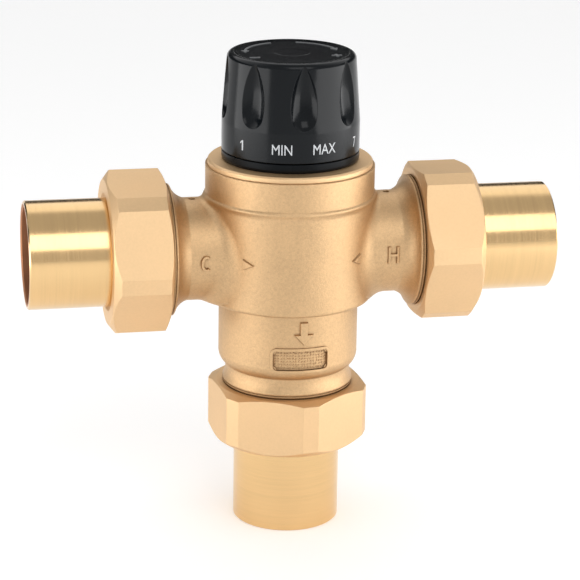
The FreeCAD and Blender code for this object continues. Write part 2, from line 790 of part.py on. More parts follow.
tube = body("shuttle_tube")
turn(tube, [
    ("shuttle_bore_dia/2 + 0.6", "shuttle_bottom"),
    ("shuttle_dia/2", "shuttle_bottom"),
    ("shuttle_dia/2", "shuttle_top"),
    ("shuttle_bore_dia/2 + 0.6", "shuttle_top"),
    ("shuttle_bore_dia/2", "shuttle_top - 1.5"),
    ("shuttle_bore_dia/2", "shuttle_bottom + 1.5"),
])
hub = ring("shuttle_hub", "element_dia/2", "hub_dia/2", "hub_bottom", "hub_top - hub_bottom")
spokes = []
for k in range(4):
    s = primitive("Part::Box", "shuttle_spoke_%d" % k, Length="(shuttle_bore_dia - hub_dia)/2 + 1.2",
                  Width="spoke_width", Height="hub_top - hub_bottom")
    r = FreeCAD.Rotation(V(0, 0, 1), 45 + 90 * k)
    start = r.multVec(V(value("hub_dia/2 - 0.6"), -value("spoke_width/2"), value("hub_bottom")))
    s.Placement = FreeCAD.Placement(start, r)
    spokes.append(s)
shuttle = joined("shuttle", [tube, hub] + spokes)
place(shuttle)
parts.append(shuttle)

seat = ring("seat_ring", "seat_bore_dia/2", "seat_pocket_dia/2", "seat_pocket_height",
            "seat_top - seat_pocket_height")
place(seat)
parts.append(seat)

rim = ring("perch_rim", "perch_rim_dia/2", "spring_bore_dia/2", "spring_shelf_height", "perch_thick")
centre = ring("perch_centre", "perch_hub_bore/2", "perch_hub_dia/2", "spring_shelf_height", "perch_thick")
legs = []
for k in range(3):
    s = primitive("Part::Box", "perch_leg_%d" % k, Length="(perch_rim_dia - perch_hub_dia)/2 + 1.0",
                  Width="spoke_width", Height="perch_thick")
    r = FreeCAD.Rotation(V(0, 0, 1), 90 + 120 * k)
    start = r.multVec(V(value("perch_hub_dia/2 - 0.5"), -value("spoke_width/2"), value("spring_shelf_height")))
    s.Placement = FreeCAD.Placement(start, r)
    legs.append(s)
perch = joined("spring_perch", [rim, centre] + legs)
place(perch)
parts.append(perch)


def coil(label, mean, wire, turns, low, high):
    b = body(label)
    sk = sketch_on(b, "XZ_Plane")
    wire_r = value(wire) / 2
    ring_at = V(value(mean) / 2, value(low) + wire_r, 0)
    g = sk.addGeometry(Part.Circle(ring_at, V(0, 0, 1), wire_r), False)
    for kind, e, v in (("DistanceX", "(%s)/2" % mean, ring_at.x),
                       ("DistanceY", "%s + (%s)/2" % (low, wire), ring_at.y)):
        c = sk.addConstraint(Sketcher.Constraint(kind, -1, 1, g, 3, v))
        tie(sk, "Constraints[%d]" % c, e)
    c = sk.addConstraint(Sketcher.Constraint("Radius", g, wire_r))
    tie(sk, "Constraints[%d]" % c, "(%s)/2" % wire)
    hx = b.newObject("PartDesign::AdditiveHelix", label + "_coil")
    hx.Profile = sk
    hx.ReferenceAxis = (sk, ["V_Axis"])
    hx.Mode = 0
    rise = "(%s) - (%s) - (%s)" % (high, low, wire)
    tie(hx, "Pitch", "(%s)/(%s)" % (rise, turns))
    tie(hx, "Height", rise)
    sk.Visibility = False
    b.Tip = hx
    place(b)
    parts.append(b)


coil("return_spring", "return_mean_dia", "return_wire", "return_turns",
     "spring_shelf_height + perch_thick", "hub_bottom")
coil("overtravel_spring", "over_mean_dia", "over_wire", "over_turns",
     "%s + cup_flange_thick" % clip_roof, "pusher_cavity_top")

# ---------------------------------------------------------------- checks and export
doc.recompute()
faults = []
for thing in doc.Objects:
    if any(word in ("Invalid", "Error") for word in thing.State):
        faults.append(thing.Name)
for thing in parts:
    if thing.Shape.isNull() or not thing.Shape.isValid() or len(thing.Shape.Solids) != 1:
        faults.append("shape " + thing.Label)
if faults:
    raise RuntimeError("faults: " + ", ".join(faults))

os.makedirs("parts", exist_ok=True)
for thing in parts:
    thing.Shape.exportStep("parts/%s.step" % thing.Label)
    box = thing.Shape.BoundBox
    print("%-20s vol %10.1f  x %7.2f..%7.2f  y %7.2f..%7.2f  z %7.2f..%7.2f" % (
        thing.Label, thing.Shape.Volume, box.XMin, box.XMax, box.YMin, box.YMax, box.ZMin, box.ZMax))
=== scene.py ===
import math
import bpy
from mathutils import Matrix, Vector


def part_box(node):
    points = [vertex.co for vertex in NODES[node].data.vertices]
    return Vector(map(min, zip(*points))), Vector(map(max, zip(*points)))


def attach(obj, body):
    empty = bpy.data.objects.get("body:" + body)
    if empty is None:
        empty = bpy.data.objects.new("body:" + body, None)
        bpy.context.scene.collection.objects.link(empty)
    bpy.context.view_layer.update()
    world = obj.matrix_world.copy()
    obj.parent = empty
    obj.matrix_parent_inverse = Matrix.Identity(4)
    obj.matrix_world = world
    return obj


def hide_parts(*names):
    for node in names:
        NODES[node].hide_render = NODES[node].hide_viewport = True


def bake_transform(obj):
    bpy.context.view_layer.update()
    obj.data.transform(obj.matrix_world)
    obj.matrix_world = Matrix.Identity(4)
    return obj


bl_info = {
    "name": "Three-Way Mixing Valve Dresser",
    "version": (1, 0, 0),
    "blender": (4, 5, 0),
    "location": "3D View > Sidebar > Valve",
    "description": "Finishes a forged brass mixing valve: metals, knob print, cast marks, blends and studio",
    "category": "Object",
}

import bmesh
import bpy
import numpy as np
from mathutils import Matrix, Vector

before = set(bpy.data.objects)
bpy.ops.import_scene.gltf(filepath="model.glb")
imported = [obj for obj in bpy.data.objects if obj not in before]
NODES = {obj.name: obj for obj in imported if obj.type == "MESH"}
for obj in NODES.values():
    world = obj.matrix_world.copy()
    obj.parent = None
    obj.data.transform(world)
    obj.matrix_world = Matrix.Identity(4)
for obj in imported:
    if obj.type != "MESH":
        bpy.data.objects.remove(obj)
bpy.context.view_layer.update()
MM = 0.001


def node_box(name):
    low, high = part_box(name)
    return Vector(low), Vector(high)


KNOB_LOW, KNOB_HIGH = node_box("knob")
TAIL_LOW, TAIL_HIGH = node_box("tail_hot")
INLET_Z = (TAIL_LOW.z + TAIL_HIGH.z) / 2
KNOB_R = (KNOB_HIGH.x - KNOB_LOW.x) / 2

KNOB_FACE_SINK = 0.0003
KNOB_FACE = KNOB_HIGH.z - KNOB_FACE_SINK

# turned forms that the cast marks and the blends lie on
BARREL_R = 0.0248
LOWER_R = 0.0208
ARM_R = 0.0152
PANEL_FLOOR_R = 0.0203
PANEL_WIDTH, PANEL_HEIGHT, PANEL_LEVEL = 0.0166, 0.0060, 0.05595

# finishes: inside this radius a tail is rougher and its colour is darkened as painted shade, and the painted
# shade of corners and nooks reaches this far
TAIL_WALL_R = 0.0152
PAINTED_SHADE_REACH = 0.0019

# how far a mark on the knob's top stands up and sinks in
MARK_LIFT, MARK_SINK = 0.00022, 0.0002

# height that the lamps are placed around
STAGE_MIDDLE = 0.075


# ------------------------------------------------------------------ settings
class ValveMetalSettings(bpy.types.PropertyGroup):
    forged_colour: bpy.props.FloatVectorProperty(
        name="Forged Brass", description="Colour of the bead-blasted body and bonnet",
        subtype="COLOR", size=3, min=0, max=1, default=(0.595, 0.400, 0.218))
    nut_colour: bpy.props.FloatVectorProperty(
        name="Nut Brass", description="Colour of the machined union nuts",
        subtype="COLOR", size=3, min=0, max=1, default=(0.78, 0.545, 0.310))
    tail_colour: bpy.props.FloatVectorProperty(
        name="Tail Brass", description="Colour of the turned solder tails",
        subtype="COLOR", size=3, min=0, max=1, default=(0.78, 0.530, 0.262))
    blast_grain: bpy.props.FloatProperty(
        name="Blast Grain", description="Size of one dent left by the bead blasting",
        subtype="DISTANCE", unit="LENGTH", default=0.00030, min=0.0001, max=0.003)
    turning_pitch: bpy.props.FloatProperty(
        name="Turning Pitch", description="Distance between the fine lathe lines on the tails",
        subtype="DISTANCE", unit="LENGTH", default=0.00032, min=0.00005, max=0.002)


class ValveKnobSettings(bpy.types.PropertyGroup):
    plastic_colour: bpy.props.FloatVectorProperty(
        name="Knob Plastic", description="Colour of the moulded knob and its base ring",
        subtype="COLOR", size=3, min=0, max=1, default=(0.0030, 0.0042, 0.0055))
    print_colour: bpy.props.FloatVectorProperty(
        name="Print", description="Colour of the pad-printed numbers and words",
        subtype="COLOR", size=3, min=0, max=1, default=(0.56, 0.58, 0.60))
    letter_height: bpy.props.FloatProperty(
        name="Letter Height", description="Height of MIN, MAX and the numbers",
        subtype="DISTANCE", unit="LENGTH", default=0.0030, min=0.001, max=0.006)
    print_height: bpy.props.FloatProperty(
        name="Print Height", description="Height of the middle of the print above the knob's lower edge",
        subtype="DISTANCE", unit="LENGTH", default=0.0040, min=0.001, max=0.02)


class ValveCastSettings(bpy.types.PropertyGroup):
    root_blend: bpy.props.FloatProperty(
        name="Root Blend", description="Width of the soft blend where each arm grows out of the body",
        subtype="DISTANCE", unit="LENGTH", default=0.0024, min=0.001, max=0.02)
    lower_blend: bpy.props.FloatProperty(
        name="Lower Blend", description="Width of the same blend underneath the arms",
        subtype="DISTANCE", unit="LENGTH", default=0.0040, min=0.001, max=0.02)
    mark_relief: bpy.props.FloatProperty(
        name="Mark Relief", description="How far the cast letters and flow arrows stand proud",
        subtype="DISTANCE", unit="LENGTH", default=0.00060, min=0.0001, max=0.001)
    stipple_pitch: bpy.props.FloatProperty(
        name="Stipple Pitch", description="Distance between the small dots in the sunk panel",
        subtype="DISTANCE", unit="LENGTH", default=0.00085, min=0.0003, max=0.003)


class ValveStageSettings(bpy.types.PropertyGroup):
    floor_colour: bpy.props.FloatVectorProperty(
        name="Floor", description="Colour of the plain floor",
        subtype="COLOR", size=3, min=0, max=1, default=(0.97, 0.97, 0.97))
    floor_lift: bpy.props.FloatProperty(
        name="Floor Lift", description="How much whiter the floor looks than its light alone makes it",
        default=0.13, min=0, max=1)
    room_light: bpy.props.FloatProperty(
        name="Room Light", description="Level of the soft band of light that runs round the room",
        default=1.12, min=0, max=5)
    azimuth: bpy.props.FloatProperty(
        name="Camera Azimuth", description="Camera angle around the valve, from the front",
        subtype="ANGLE", unit="ROTATION", default=math.radians(-11.339))
    elevation: bpy.props.FloatProperty(
        name="Camera Elevation", description="Camera angle above the horizon",
        subtype="ANGLE", unit="ROTATION", default=math.radians(17.730))
    roll: bpy.props.FloatProperty(
        name="Camera Roll", description="Lean of the camera",
        subtype="ANGLE", unit="ROTATION", default=math.radians(0.874))
    distance: bpy.props.FloatProperty(
        name="Camera Distance", description="Distance from the aim point",
        subtype="DISTANCE", unit="LENGTH", default=0.72158)


# ------------------------------------------------------------------ materials
def start_material(name):
    mat = bpy.data.materials.new(name)
    mat.use_nodes = True
    nt = mat.node_tree
    bsdf = nt.nodes["Principled BSDF"]
    return mat, nt, bsdf


def add(nt, kind, **values):
    n = nt.nodes.new(kind)
    for key, v in values.items():
        if key in n.inputs:
            n.inputs[key].default_value = v
        else:
            setattr(n, key, v)
    return n


def place_coords(nt, scale=(1, 1, 1)):
    tc = add(nt, "ShaderNodeTexCoord")
    mp = add(nt, "ShaderNodeMapping")
    mp.inputs["Scale"].default_value = scale
    nt.links.new(tc.outputs["Object"], mp.inputs["Vector"])
    return mp.outputs["Vector"]


def noise(nt, vector, scale, detail=3.0, rough=0.55):
    n = add(nt, "ShaderNodeTexNoise", Scale=scale, Detail=detail, Roughness=rough)
    nt.links.new(vector, n.inputs["Vector"])
    return n.outputs["Fac"]


def ramp(nt, source, stops):
    """A colour that follows a value through stops of place and colour."""
    r = add(nt, "ShaderNodeValToRGB")
    els = r.color_ramp.elements
    while len(els) < len(stops):
        els.new(0.5)
    for el, (pos, col) in zip(els, stops):
        el.position = pos
        el.color = (*col, 1)
    nt.links.new(source, r.inputs["Fac"])
    return r.outputs["Color"]


def spread(nt, source, low, high, a=0.0, b=1.0):
    """Turns a value between a and b into one between low and high."""
    m = add(nt, "ShaderNodeMapRange")
    m.inputs["From Min"].default_value = a
    m.inputs["From Max"].default_value = b
    m.inputs["To Min"].default_value = low
    m.inputs["To Max"].default_value = high
    nt.links.new(source, m.inputs["Value"])
    return m.outputs["Result"]


def bump(nt, height, distance, strength, under=None):
    b = add(nt, "ShaderNodeBump", Strength=strength, Distance=distance)
    nt.links.new(height, b.inputs["Height"])
    if under is not None:
        nt.links.new(under, b.inputs["Normal"])
    return b.outputs["Normal"]


def soft_edges(nt, radius, samples):
    """A normal that rounds sharp edges by a small radius."""
    return add(nt, "ShaderNodeBevel", samples=samples, Radius=radius).outputs["Normal"]


def mix_value(nt, a, b, factor):
    m = add(nt, "ShaderNodeMix", data_type="FLOAT")
    m.inputs[0].default_value = factor
    nt.links.new(a, m.inputs[2])
    nt.links.new(b, m.inputs[3])
    return m.outputs[0]


def tint(colour, k):
    return tuple(min(1.0, c * k) for c in colour)


def forged_brass(name, colour, grain, soft_edge=0.0006):
    """Brass as the die and the bead blast leave it: a sparkling grain and slow clouds, with painted shade
    that darkens the colour in corners and nooks.
    """
    mat, nt, bsdf = start_material(name)
    at = place_coords(nt)
    fine = noise(nt, at, 1.0 / grain, 2.0, 0.6)
    coarse = noise(nt, at, 0.38 / grain, 2.0, 0.5)
    cloud = noise(nt, at, 60.0, 4.0, 0.55)
    tone = mix_value(nt, mix_value(nt, fine, coarse, 0.4), cloud, 0.35)
    col = ramp(nt, tone, [(0.36, tint(colour, 0.84)), (0.50, colour), (0.64, tint(colour, 1.14))])
    # painted shade: ambient occlusion darkens the colour in corners, creases and at the feet of raised marks
    shade_ao = add(nt, "ShaderNodeAmbientOcclusion", samples=6, Distance=PAINTED_SHADE_REACH)
    shade_colour = (colour[0] * 0.40, colour[1] * 0.33, colour[2] * 0.28)
    paint = add(nt, "ShaderNodeMix", data_type="RGBA")
    nt.links.new(spread(nt, shade_ao.outputs["AO"], 0.0, 1.0, 0.30, 0.85), paint.inputs[0])
    paint.inputs[6].default_value = (*shade_colour, 1)
    nt.links.new(col, paint.inputs[7])
    nt.links.new(paint.outputs[2], bsdf.inputs["Base Color"])
    nt.links.new(spread(nt, cloud, 0.45, 0.53, 0.3, 0.7), bsdf.inputs["Roughness"])
    bsdf.inputs["Metallic"].default_value = 1.0
    dents = mix_value(nt, fine, coarse, 0.5)
    nt.links.new(bump(nt, dents, 0.00016, 0.60, soft_edges(nt, soft_edge, 6)), bsdf.inputs["Normal"])
    return mat


def machined_brass(name, colour, axis, low, high):
    """Milled and turned brass: satin, nearly even, with lines too fine to count."""
    mat, nt, bsdf = start_material(name)
    stretch = [40.0, 40.0, 40.0]
    stretch[axis] = 3600.0
    lines = noise(nt, place_coords(nt, stretch), 1.0, 2.0, 0.5)
    cloud = noise(nt, place_coords(nt), 45.0, 3.0, 0.5)
    speck = noise(nt, place_coords(nt), 1500.0, 2.0, 0.5)
    tone = mix_value(nt, cloud, speck, 0.35)
    col = ramp(nt, tone, [(0.34, tint(colour, 0.955)), (0.5, colour), (0.66, tint(colour, 1.035))])
    nt.links.new(col, bsdf.inputs["Base Color"])
    nt.links.new(spread(nt, cloud, low, high, 0.3, 0.7), bsdf.inputs["Roughness"])
    bsdf.inputs["Metallic"].default_value = 1.0
    nt.links.new(bump(nt, lines, 0.00001, 0.3, soft_edges(nt, 0.00035, 6)), bsdf.inputs["Normal"])
    return mat


def bore_mask(nt, axis, height, radius):
    """0 outside a tube and 1 inside it, from the distance to the tube's own axis."""
    tc = add(nt, "ShaderNodeTexCoord")
    mp = add(nt, "ShaderNodeMapping")
    mp.inputs["Location"].default_value = (0, 0, -height)
    mp.inputs["Scale"].default_value = [0.0 if n == axis else 1.0 for n in range(3)]
    nt.links.new(tc.outputs["Object"], mp.inputs["Vector"])
    far = add(nt, "ShaderNodeVectorMath", operation="LENGTH")
    nt.links.new(mp.outputs["Vector"], far.inputs[0])
    return spread(nt, far.outputs["Value"], 1.0, 0.0, radius - 0.0004, radius)


def turned_brass(name, colour, axis, pitch, height, bore):
    """Bright turned tube: fine lathe lines run round it and fray the edge of every highlight."""
    mat, nt, bsdf = start_material(name)
    inside = bore_mask(nt, axis, height, bore)
    round_lines = [26.0, 26.0, 26.0]
    round_lines[axis] = 1.0 / pitch
    lines = noise(nt, place_coords(nt, round_lines), 1.0, 3.0, 0.7)
    wide = [12.0, 12.0, 12.0]
    wide[axis] = 0.22 / pitch
    bands = noise(nt, place_coords(nt, wide), 1.0, 2.0, 0.5)
    cloud = noise(nt, place_coords(nt), 50.0, 3.0, 0.5)
    tone = mix_value(nt, mix_value(nt, lines, bands, 0.4), cloud, 0.35)
    col = ramp(nt, tone, [(0.34, tint(colour, 0.92)), (0.5, colour), (0.66, tint(colour, 1.06))])
    # painted shade: the colour inside the bore is darkened, and the bore's finish is also made rougher below
    bore_shade_colour = (colour[0] * 0.58, colour[1] * 0.40, colour[2] * 0.42)
    bore_shade = ramp(nt, cloud, [(0.3, tint(bore_shade_colour, 0.85)), (0.7, bore_shade_colour)])
    paint = add(nt, "ShaderNodeMix", data_type="RGBA")
    nt.links.new(inside, paint.inputs[0])
    nt.links.new(col, paint.inputs[6])
    nt.links.new(bore_shade, paint.inputs[7])
    nt.links.new(paint.outputs[2], bsdf.inputs["Base Color"])
    gloss = add(nt, "ShaderNodeMix", data_type="FLOAT")
    nt.links.new(inside, gloss.inputs[0])
    nt.links.new(spread(nt, lines, 0.12, 0.23, 0.32, 0.68), gloss.inputs[2])
    gloss.inputs[3].default_value = 0.55
    nt.links.new(gloss.outputs[0], bsdf.inputs["Roughness"])
    bsdf.inputs["Metallic"].default_value = 1.0
    nt.links.new(bump(nt, lines, 0.000012, 0.5), bsdf.inputs["Normal"])
    return mat


def moulded_plastic(name, colour, low=0.13, high=0.18, shine=0.20):
    """Black moulded plastic with a satin gloss and a skin that is never quite even."""
    mat, nt, bsdf = start_material(name)
    at = place_coords(nt)
    fine = noise(nt, at, 1400.0, 2.0, 0.5)
    cloud = noise(nt, at, 45.0, 3.0, 0.5)
    col = ramp(nt, cloud, [(0.3, tint(colour, 0.86)), (0.7, tint(colour, 1.16))])
    nt.links.new(col, bsdf.inputs["Base Color"])
    nt.links.new(spread(nt, cloud, low, high, 0.3, 0.7), bsdf.inputs["Roughness"])
    bsdf.inputs["Specular IOR Level"].default_value = shine
    nt.links.new(bump(nt, fine, 0.000006, 0.2, soft_edges(nt, 0.0003, 4)), bsdf.inputs["Normal"])
    return mat


def worked_metal(name, colour, low, high, scale=500.0):
    """Plain turned or drawn metal of the inner pieces."""
    mat, nt, bsdf = start_material(name)
    at = place_coords(nt)
    fine = noise(nt, at, scale, 3.0, 0.6)
    cloud = noise(nt, at, 90.0, 3.0, 0.5)
    col = ramp(nt, cloud, [(0.3, tint(colour, 0.82)), (0.7, tint(colour, 1.12))])
    nt.links.new(col, bsdf.inputs["Base Color"])
    nt.links.new(spread(nt, fine, low, high, 0.3, 0.7), bsdf.inputs["Roughness"])
    bsdf.inputs["Metallic"].default_value = 1.0
    nt.links.new(bump(nt, fine, 0.00002, 0.4), bsdf.inputs["Normal"])
    return mat


def soft_rubber(name, colour, low=0.5, high=0.7, scale=800.0):
    """Dull rubber or pressed fibre with a fine skin."""
    mat, nt, bsdf = start_material(name)
    at = place_coords(nt)
    fine = noise(nt, at, scale, 3.0, 0.6)
    col = ramp(nt, fine, [(0.3, tint(colour, 0.75)), (0.7, tint(colour, 1.25))])
    nt.links.new(col, bsdf.inputs["Base Color"])
    nt.links.new(spread(nt, fine, low, high, 0.3, 0.7), bsdf.inputs["Roughness"])
    nt.links.new(bump(nt, fine, 0.00003, 0.4), bsdf.inputs["Normal"])
    return mat


def printed_ink(name, colour):
    """Matt pad-printed ink, a little thin in places."""
    mat, nt, bsdf = start_material(name)
    at = place_coords(nt)
    fine = noise(nt, at, 2600.0, 2.0, 0.5)
    col = ramp(nt, fine, [(0.3, tint(colour, 0.86)), (0.6, tint(colour, 1.05))])
    nt.links.new(col, bsdf.inputs["Base Color"])
    nt.links.new(spread(nt, fine, 0.35, 0.5, 0.3, 0.7), bsdf.inputs["Roughness"])
    return mat


def dress(names, mat):
    """Gives CAD nodes a material and leaves their shape alone."""
    for name in names:
        o = NODES[name]
        o.data.materials.clear()
        o.data.materials.append(mat)


# ------------------------------------------------------------------ mesh helpers
def keep_piece(name, mesh, mat, body, smooth_angle=None):
    mesh.name = name
    mesh.materials.clear()
    mesh.materials.append(mat)
    o = bpy.data.objects.new(name, mesh)
    bpy.context.scene.collection.objects.link(o)
    if smooth_angle is not None:
        mesh.shade_smooth()
        mesh.set_sharp_from_angle(angle=smooth_angle)
    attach(o, body)
    return o


def mesh_from(verts, faces):
    m = bpy.data.meshes.new("work")
    m.from_pydata([tuple(v) for v in verts], [], [tuple(f) for f in faces])
    m.validate()
    m.update()
    return m


def flat_text(text, height, squeeze):
    """A word as a flat outline mesh, its middle at the origin, capitals as high as asked."""
    curve = bpy.data.curves.new("word", "FONT")
    curve.body = text
    curve.size = 1.0
    curve.resolution_u = 6
    o = bpy.data.objects.new("word", curve)
    bpy.context.scene.collection.objects.link(o)
    bpy.context.view_layer.update()
    mesh = bpy.data.meshes.new_from_object(o.evaluated_get(bpy.context.evaluated_depsgraph_get()))
    bpy.data.objects.remove(o)
    bm = bmesh.new()
    bm.from_mesh(mesh)
    xs = [v.co.x for v in bm.verts]
    ys = [v.co.y for v in bm.verts]
    mx, my = (min(xs) + max(xs)) / 2, (min(ys) + max(ys)) / 2
    k = height / (max(ys) - min(ys))
    for v in bm.verts:
        v.co = Vector(((v.co.x - mx) * k * squeeze, (v.co.y - my) * k, 0))
    return bm


def slice_up(bm, step):
    """Cuts a flat shape into narrow strips so that it can be bent."""
    bmesh.ops.remove_doubles(bm, verts=bm.verts, dist=1e-7)
    xs = [v.co.x for v in bm.verts]
    x = min(xs) + step
    while x < max(xs):
        geom = bm.verts[:] + bm.edges[:] + bm.faces[:]
        bmesh.ops.bisect_plane(bm, geom=geom, plane_co=(x, 0, 0), plane_no=(1, 0, 0), dist=1e-8)
        x += step


def thicken(bm, lift, sink):
    """Gives a flat shape in XY a wall: from -sink to +lift along Z, closed all round."""
    bmesh.ops.recalc_face_normals(bm, faces=bm.faces)
    if sum(f.normal.z * f.calc_area() for f in bm.faces) < 0:
        bmesh.ops.reverse_faces(bm, faces=bm.faces)
    low = bm.faces[:]
    ret = bmesh.ops.extrude_face_region(bm, geom=low, use_keep_orig=True)
    top = [g for g in ret["geom"] if isinstance(g, bmesh.types.BMVert)]
    for v in top:
        v.co.z = lift
    top_set = set(top)
    for v in bm.verts:
        if v not in top_set:
            v.co.z = -sink
    bmesh.ops.reverse_faces(bm, faces=[f for f in low if f.is_valid])


def finish_mesh(bm):
    """A mesh whose faces point outwards, and whose corners and faces come in the same order at every run."""
    bmesh.ops.recalc_face_normals(bm, faces=bm.faces)
    corners = sorted(bm.verts, key=lambda v: tuple(round(c, 8) for c in v.co))
    rank = {v: n for n, v in enumerate(corners)}
    faces = []
    for f in bm.faces:
        ring = [rank[v] for v in f.verts]
        first = ring.index(min(ring))
        faces.append(ring[first:] + ring[:first])
    m = mesh_from([v.co for v in corners], sorted(faces))
    bm.free()
    return m


def bend_round(bm, radius, axis, angle, along):
    """Lays a thin shape (X across, Y up, Z proud) on a cylinder about Z or about X."""
    for v in bm.verts:
        u, w, h = v.co
        r = radius + h
        if axis == "Z":
            a = angle + u / radius
            v.co = Vector((r * math.sin(a), -r * math.cos(a), along + w))
        else:
            a = angle + w / radius
            v.co = Vector((along + u, -r * math.cos(a), INLET_Z + r * math.sin(a)))


def joined_mesh(parts):
    bm = bmesh.new()
    for p in parts:
        m = finish_mesh(p)
        bm.from_mesh(m)
        bpy.data.meshes.remove(m)
    return finish_mesh(bm)


# ------------------------------------------------------------------ operators
class VALVE_OT_metals(bpy.types.Operator):
    """Give the body, nuts, tails and inner pieces their metals, seals and plastics"""
    bl_idname = "valve.metals"
    bl_label = "Metals and Seals"

    def execute(self, context):
        s = context.scene.valve_metals
        forged = forged_brass("Forged Brass Blasted", tuple(s.forged_colour), s.blast_grain)
        dress(["body"], forged)
        forged_brass("Forged Brass Marks", tuple(s.forged_colour), s.blast_grain, 0.00008)
        dress(["bonnet"], machined_brass("Bonnet Brass", tuple(s.nut_colour), 2, 0.48, 0.58))
        nut_side = machined_brass("Nut Brass Side", tuple(s.nut_colour), 0, 0.49, 0.56)
        nut_base = machined_brass("Nut Brass Base", tuple(s.nut_colour), 2, 0.49, 0.56)
        dress(["nut_cold", "nut_hot"], nut_side)
        dress(["nut_mixed"], nut_base)
        tail_side = turned_brass("Tail Brass Side", tuple(s.tail_colour), 0, s.turning_pitch, INLET_Z,
                                 TAIL_WALL_R)
        tail_base = turned_brass("Tail Brass Base", tuple(s.tail_colour), 2, s.turning_pitch, 0.0,
                                 TAIL_WALL_R)
        dress(["tail_cold", "tail_hot"], tail_side)
        dress(["tail_mixed"], tail_base)
        inner = worked_metal("Inner Brass", (0.78, 0.56, 0.28), 0.22, 0.38)
        dress(["spindle", "pusher", "overtravel_cup", "seat_ring"], inner)
        steel = worked_metal("Bright Steel", (0.60, 0.60, 0.61), 0.20, 0.34)
        dress(["spindle_circlip", "knob_screw", "overtravel_clip", "element_piston", "spring_perch"], steel)
        wire = worked_metal("Spring Wire", (0.52, 0.53, 0.55), 0.18, 0.30, 900.0)
        dress(["return_spring", "overtravel_spring"], wire)
        dress(["wax_element"], worked_metal("Copper Cup", (0.72, 0.36, 0.20), 0.26, 0.42))
        seal = soft_rubber("Seal Rubber", (0.016, 0.016, 0.017))
        dress(["bonnet_oring", "shuttle_seal", "spindle_oring_lower", "spindle_oring_upper"], seal)
        fibre = soft_rubber("Gasket Fibre", (0.10, 0.10, 0.095), 0.7, 0.85, 500.0)
        dress(["gasket_cold", "gasket_hot", "gasket_mixed"], fibre)
        dress(["shuttle"], moulded_plastic("Shuttle Moulding", (0.05, 0.05, 0.055), 0.4, 0.55))
        return {"FINISHED"}


class VALVE_OT_return_spring(bpy.types.Operator):
    """Cut the return spring at mid length into a lower and an upper half"""
    bl_idname = "valve.return_spring"
    bl_label = "Return Spring"

    def execute(self, context):
        source = NODES["return_spring"]
        low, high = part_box("return_spring")
        middle = (low[2] + high[2]) / 2
        for name, side, start, end, below, above in (
                ("return_spring_lower", 1, low[2], middle, "valve", "pusher"),
                ("return_spring_upper", -1, middle, high[2], "pusher", "shuttle")):
            bm = bmesh.new()
            bm.from_mesh(source.data)
            bmesh.ops.remove_doubles(bm, verts=bm.verts, dist=1e-7)
            bmesh.ops.bisect_plane(bm, geom=bm.verts[:] + bm.edges[:] + bm.faces[:], dist=1e-9,
                                   plane_co=(0, 0, middle), plane_no=(0, 0, side), clear_outer=True)
            bmesh.ops.holes_fill(bm, edges=[e for e in bm.edges if e.is_boundary], sides=0)
            mesh = finish_mesh(bm)
            mesh.name = name
            mesh.materials.clear()
            mesh.materials.append(source.data.materials[0])
            mesh.shade_smooth()
            mesh.set_sharp_from_angle(angle=math.radians(40))
            o = bpy.data.objects.new(name, mesh)
            context.scene.collection.objects.link(o)
            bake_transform(o)
            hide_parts("return_spring")
        return {"FINISHED"}


class VALVE_OT_knob(bpy.types.Operator):
    """Give the knob, its cap and base ring their moulded plastic"""
    bl_idname = "valve.knob"
    bl_label = "Knob Plastic"

    def execute(self, context):
        s = context.scene.valve_knob
        black = moulded_plastic("Knob Plastic", tuple(s.plastic_colour))
        ring = moulded_plastic("Ring Plastic", tuple(s.plastic_colour), 0.24, 0.32, shine=0.10)
        dress(["knob", "knob_cap"], black)
        dress(["base_ring"], ring)
        return {"FINISHED"}


def figure_one(height):
    """A plain 1 with a flag and no foot."""
    w = height * 0.085
    bm = bmesh.new()
    pts = [(-w, -height / 2), (w, -height / 2), (w, height / 2), (-w * 0.6, height / 2),
           (-w * 3.6, height * 0.27), (-w * 3.6, height * 0.14), (-w, height * 0.30)]
    bm.faces.new([bm.verts.new((x, y, 0)) for x, y in pts])
    return bm


class VALVE_OT_knob_print(bpy.types.Operator):
    """Print MIN, MAX and the numbers round the knob's foot"""
    bl_idname = "valve.knob_print"
    bl_label = "Knob Print"

    def execute(self, context):
        s = context.scene.valve_knob
        ink = printed_ink("Label Print", tuple(s.print_colour))
        words = [("MIN", -18.0), ("MAX", 18.0), ("1", -54.0), ("2", -96.0), ("3", -138.0),
                 ("4", 180.0), ("5", 138.0), ("6", 96.0), ("7", 54.0)]
        pieces = []
        for text, degrees in words:
            bm = figure_one(s.letter_height) if text == "1" else flat_text(text, s.letter_height, 0.80)
            slice_up(bm, 0.0005)
            thicken(bm, 0.00003, 0.0001)
            bend_round(bm, KNOB_R, "Z", math.radians(degrees), KNOB_LOW.z + s.print_height)
            pieces.append(bm)
        keep_piece("knob_print", joined_mesh(pieces), ink, "knob")
        return {"FINISHED"}


def seat_mark(bm, level):
    """Gives a flat mark its thickness and sets it on the knob's top."""
    thicken(bm, MARK_LIFT, MARK_SINK)
    for v in bm.verts:
        v.co.z += level
    return bm


def arc_arrow(radius, width, start, end, head, level):
    """A curved arrow on the knob's top."""
    bm = bmesh.new()

    def at(r, a):
        return bm.verts.new((r * math.sin(a), -r * math.cos(a), 0))

    steps = 28
    inner, outer = [], []
    for i in range(steps + 1):
        a = start + (end - start) * i / steps
        inner.append(at(radius - width / 2, a))
        outer.append(at(radius + width / 2, a))
    for i in range(steps):
        bm.faces.new((inner[i], inner[i + 1], outer[i + 1], outer[i]))
    way = 1 if end > start else -1
    barb = width * 1.7
    tip = at(radius, end + way * head / radius)
    near, far = at(radius - barb, end), at(radius + barb, end)
    bm.faces.new((near, inner[-1], tip))
    bm.faces.new((inner[-1], outer[-1], tip))
    bm.faces.new((outer[-1], far, tip))
    return seat_mark(bm, level)


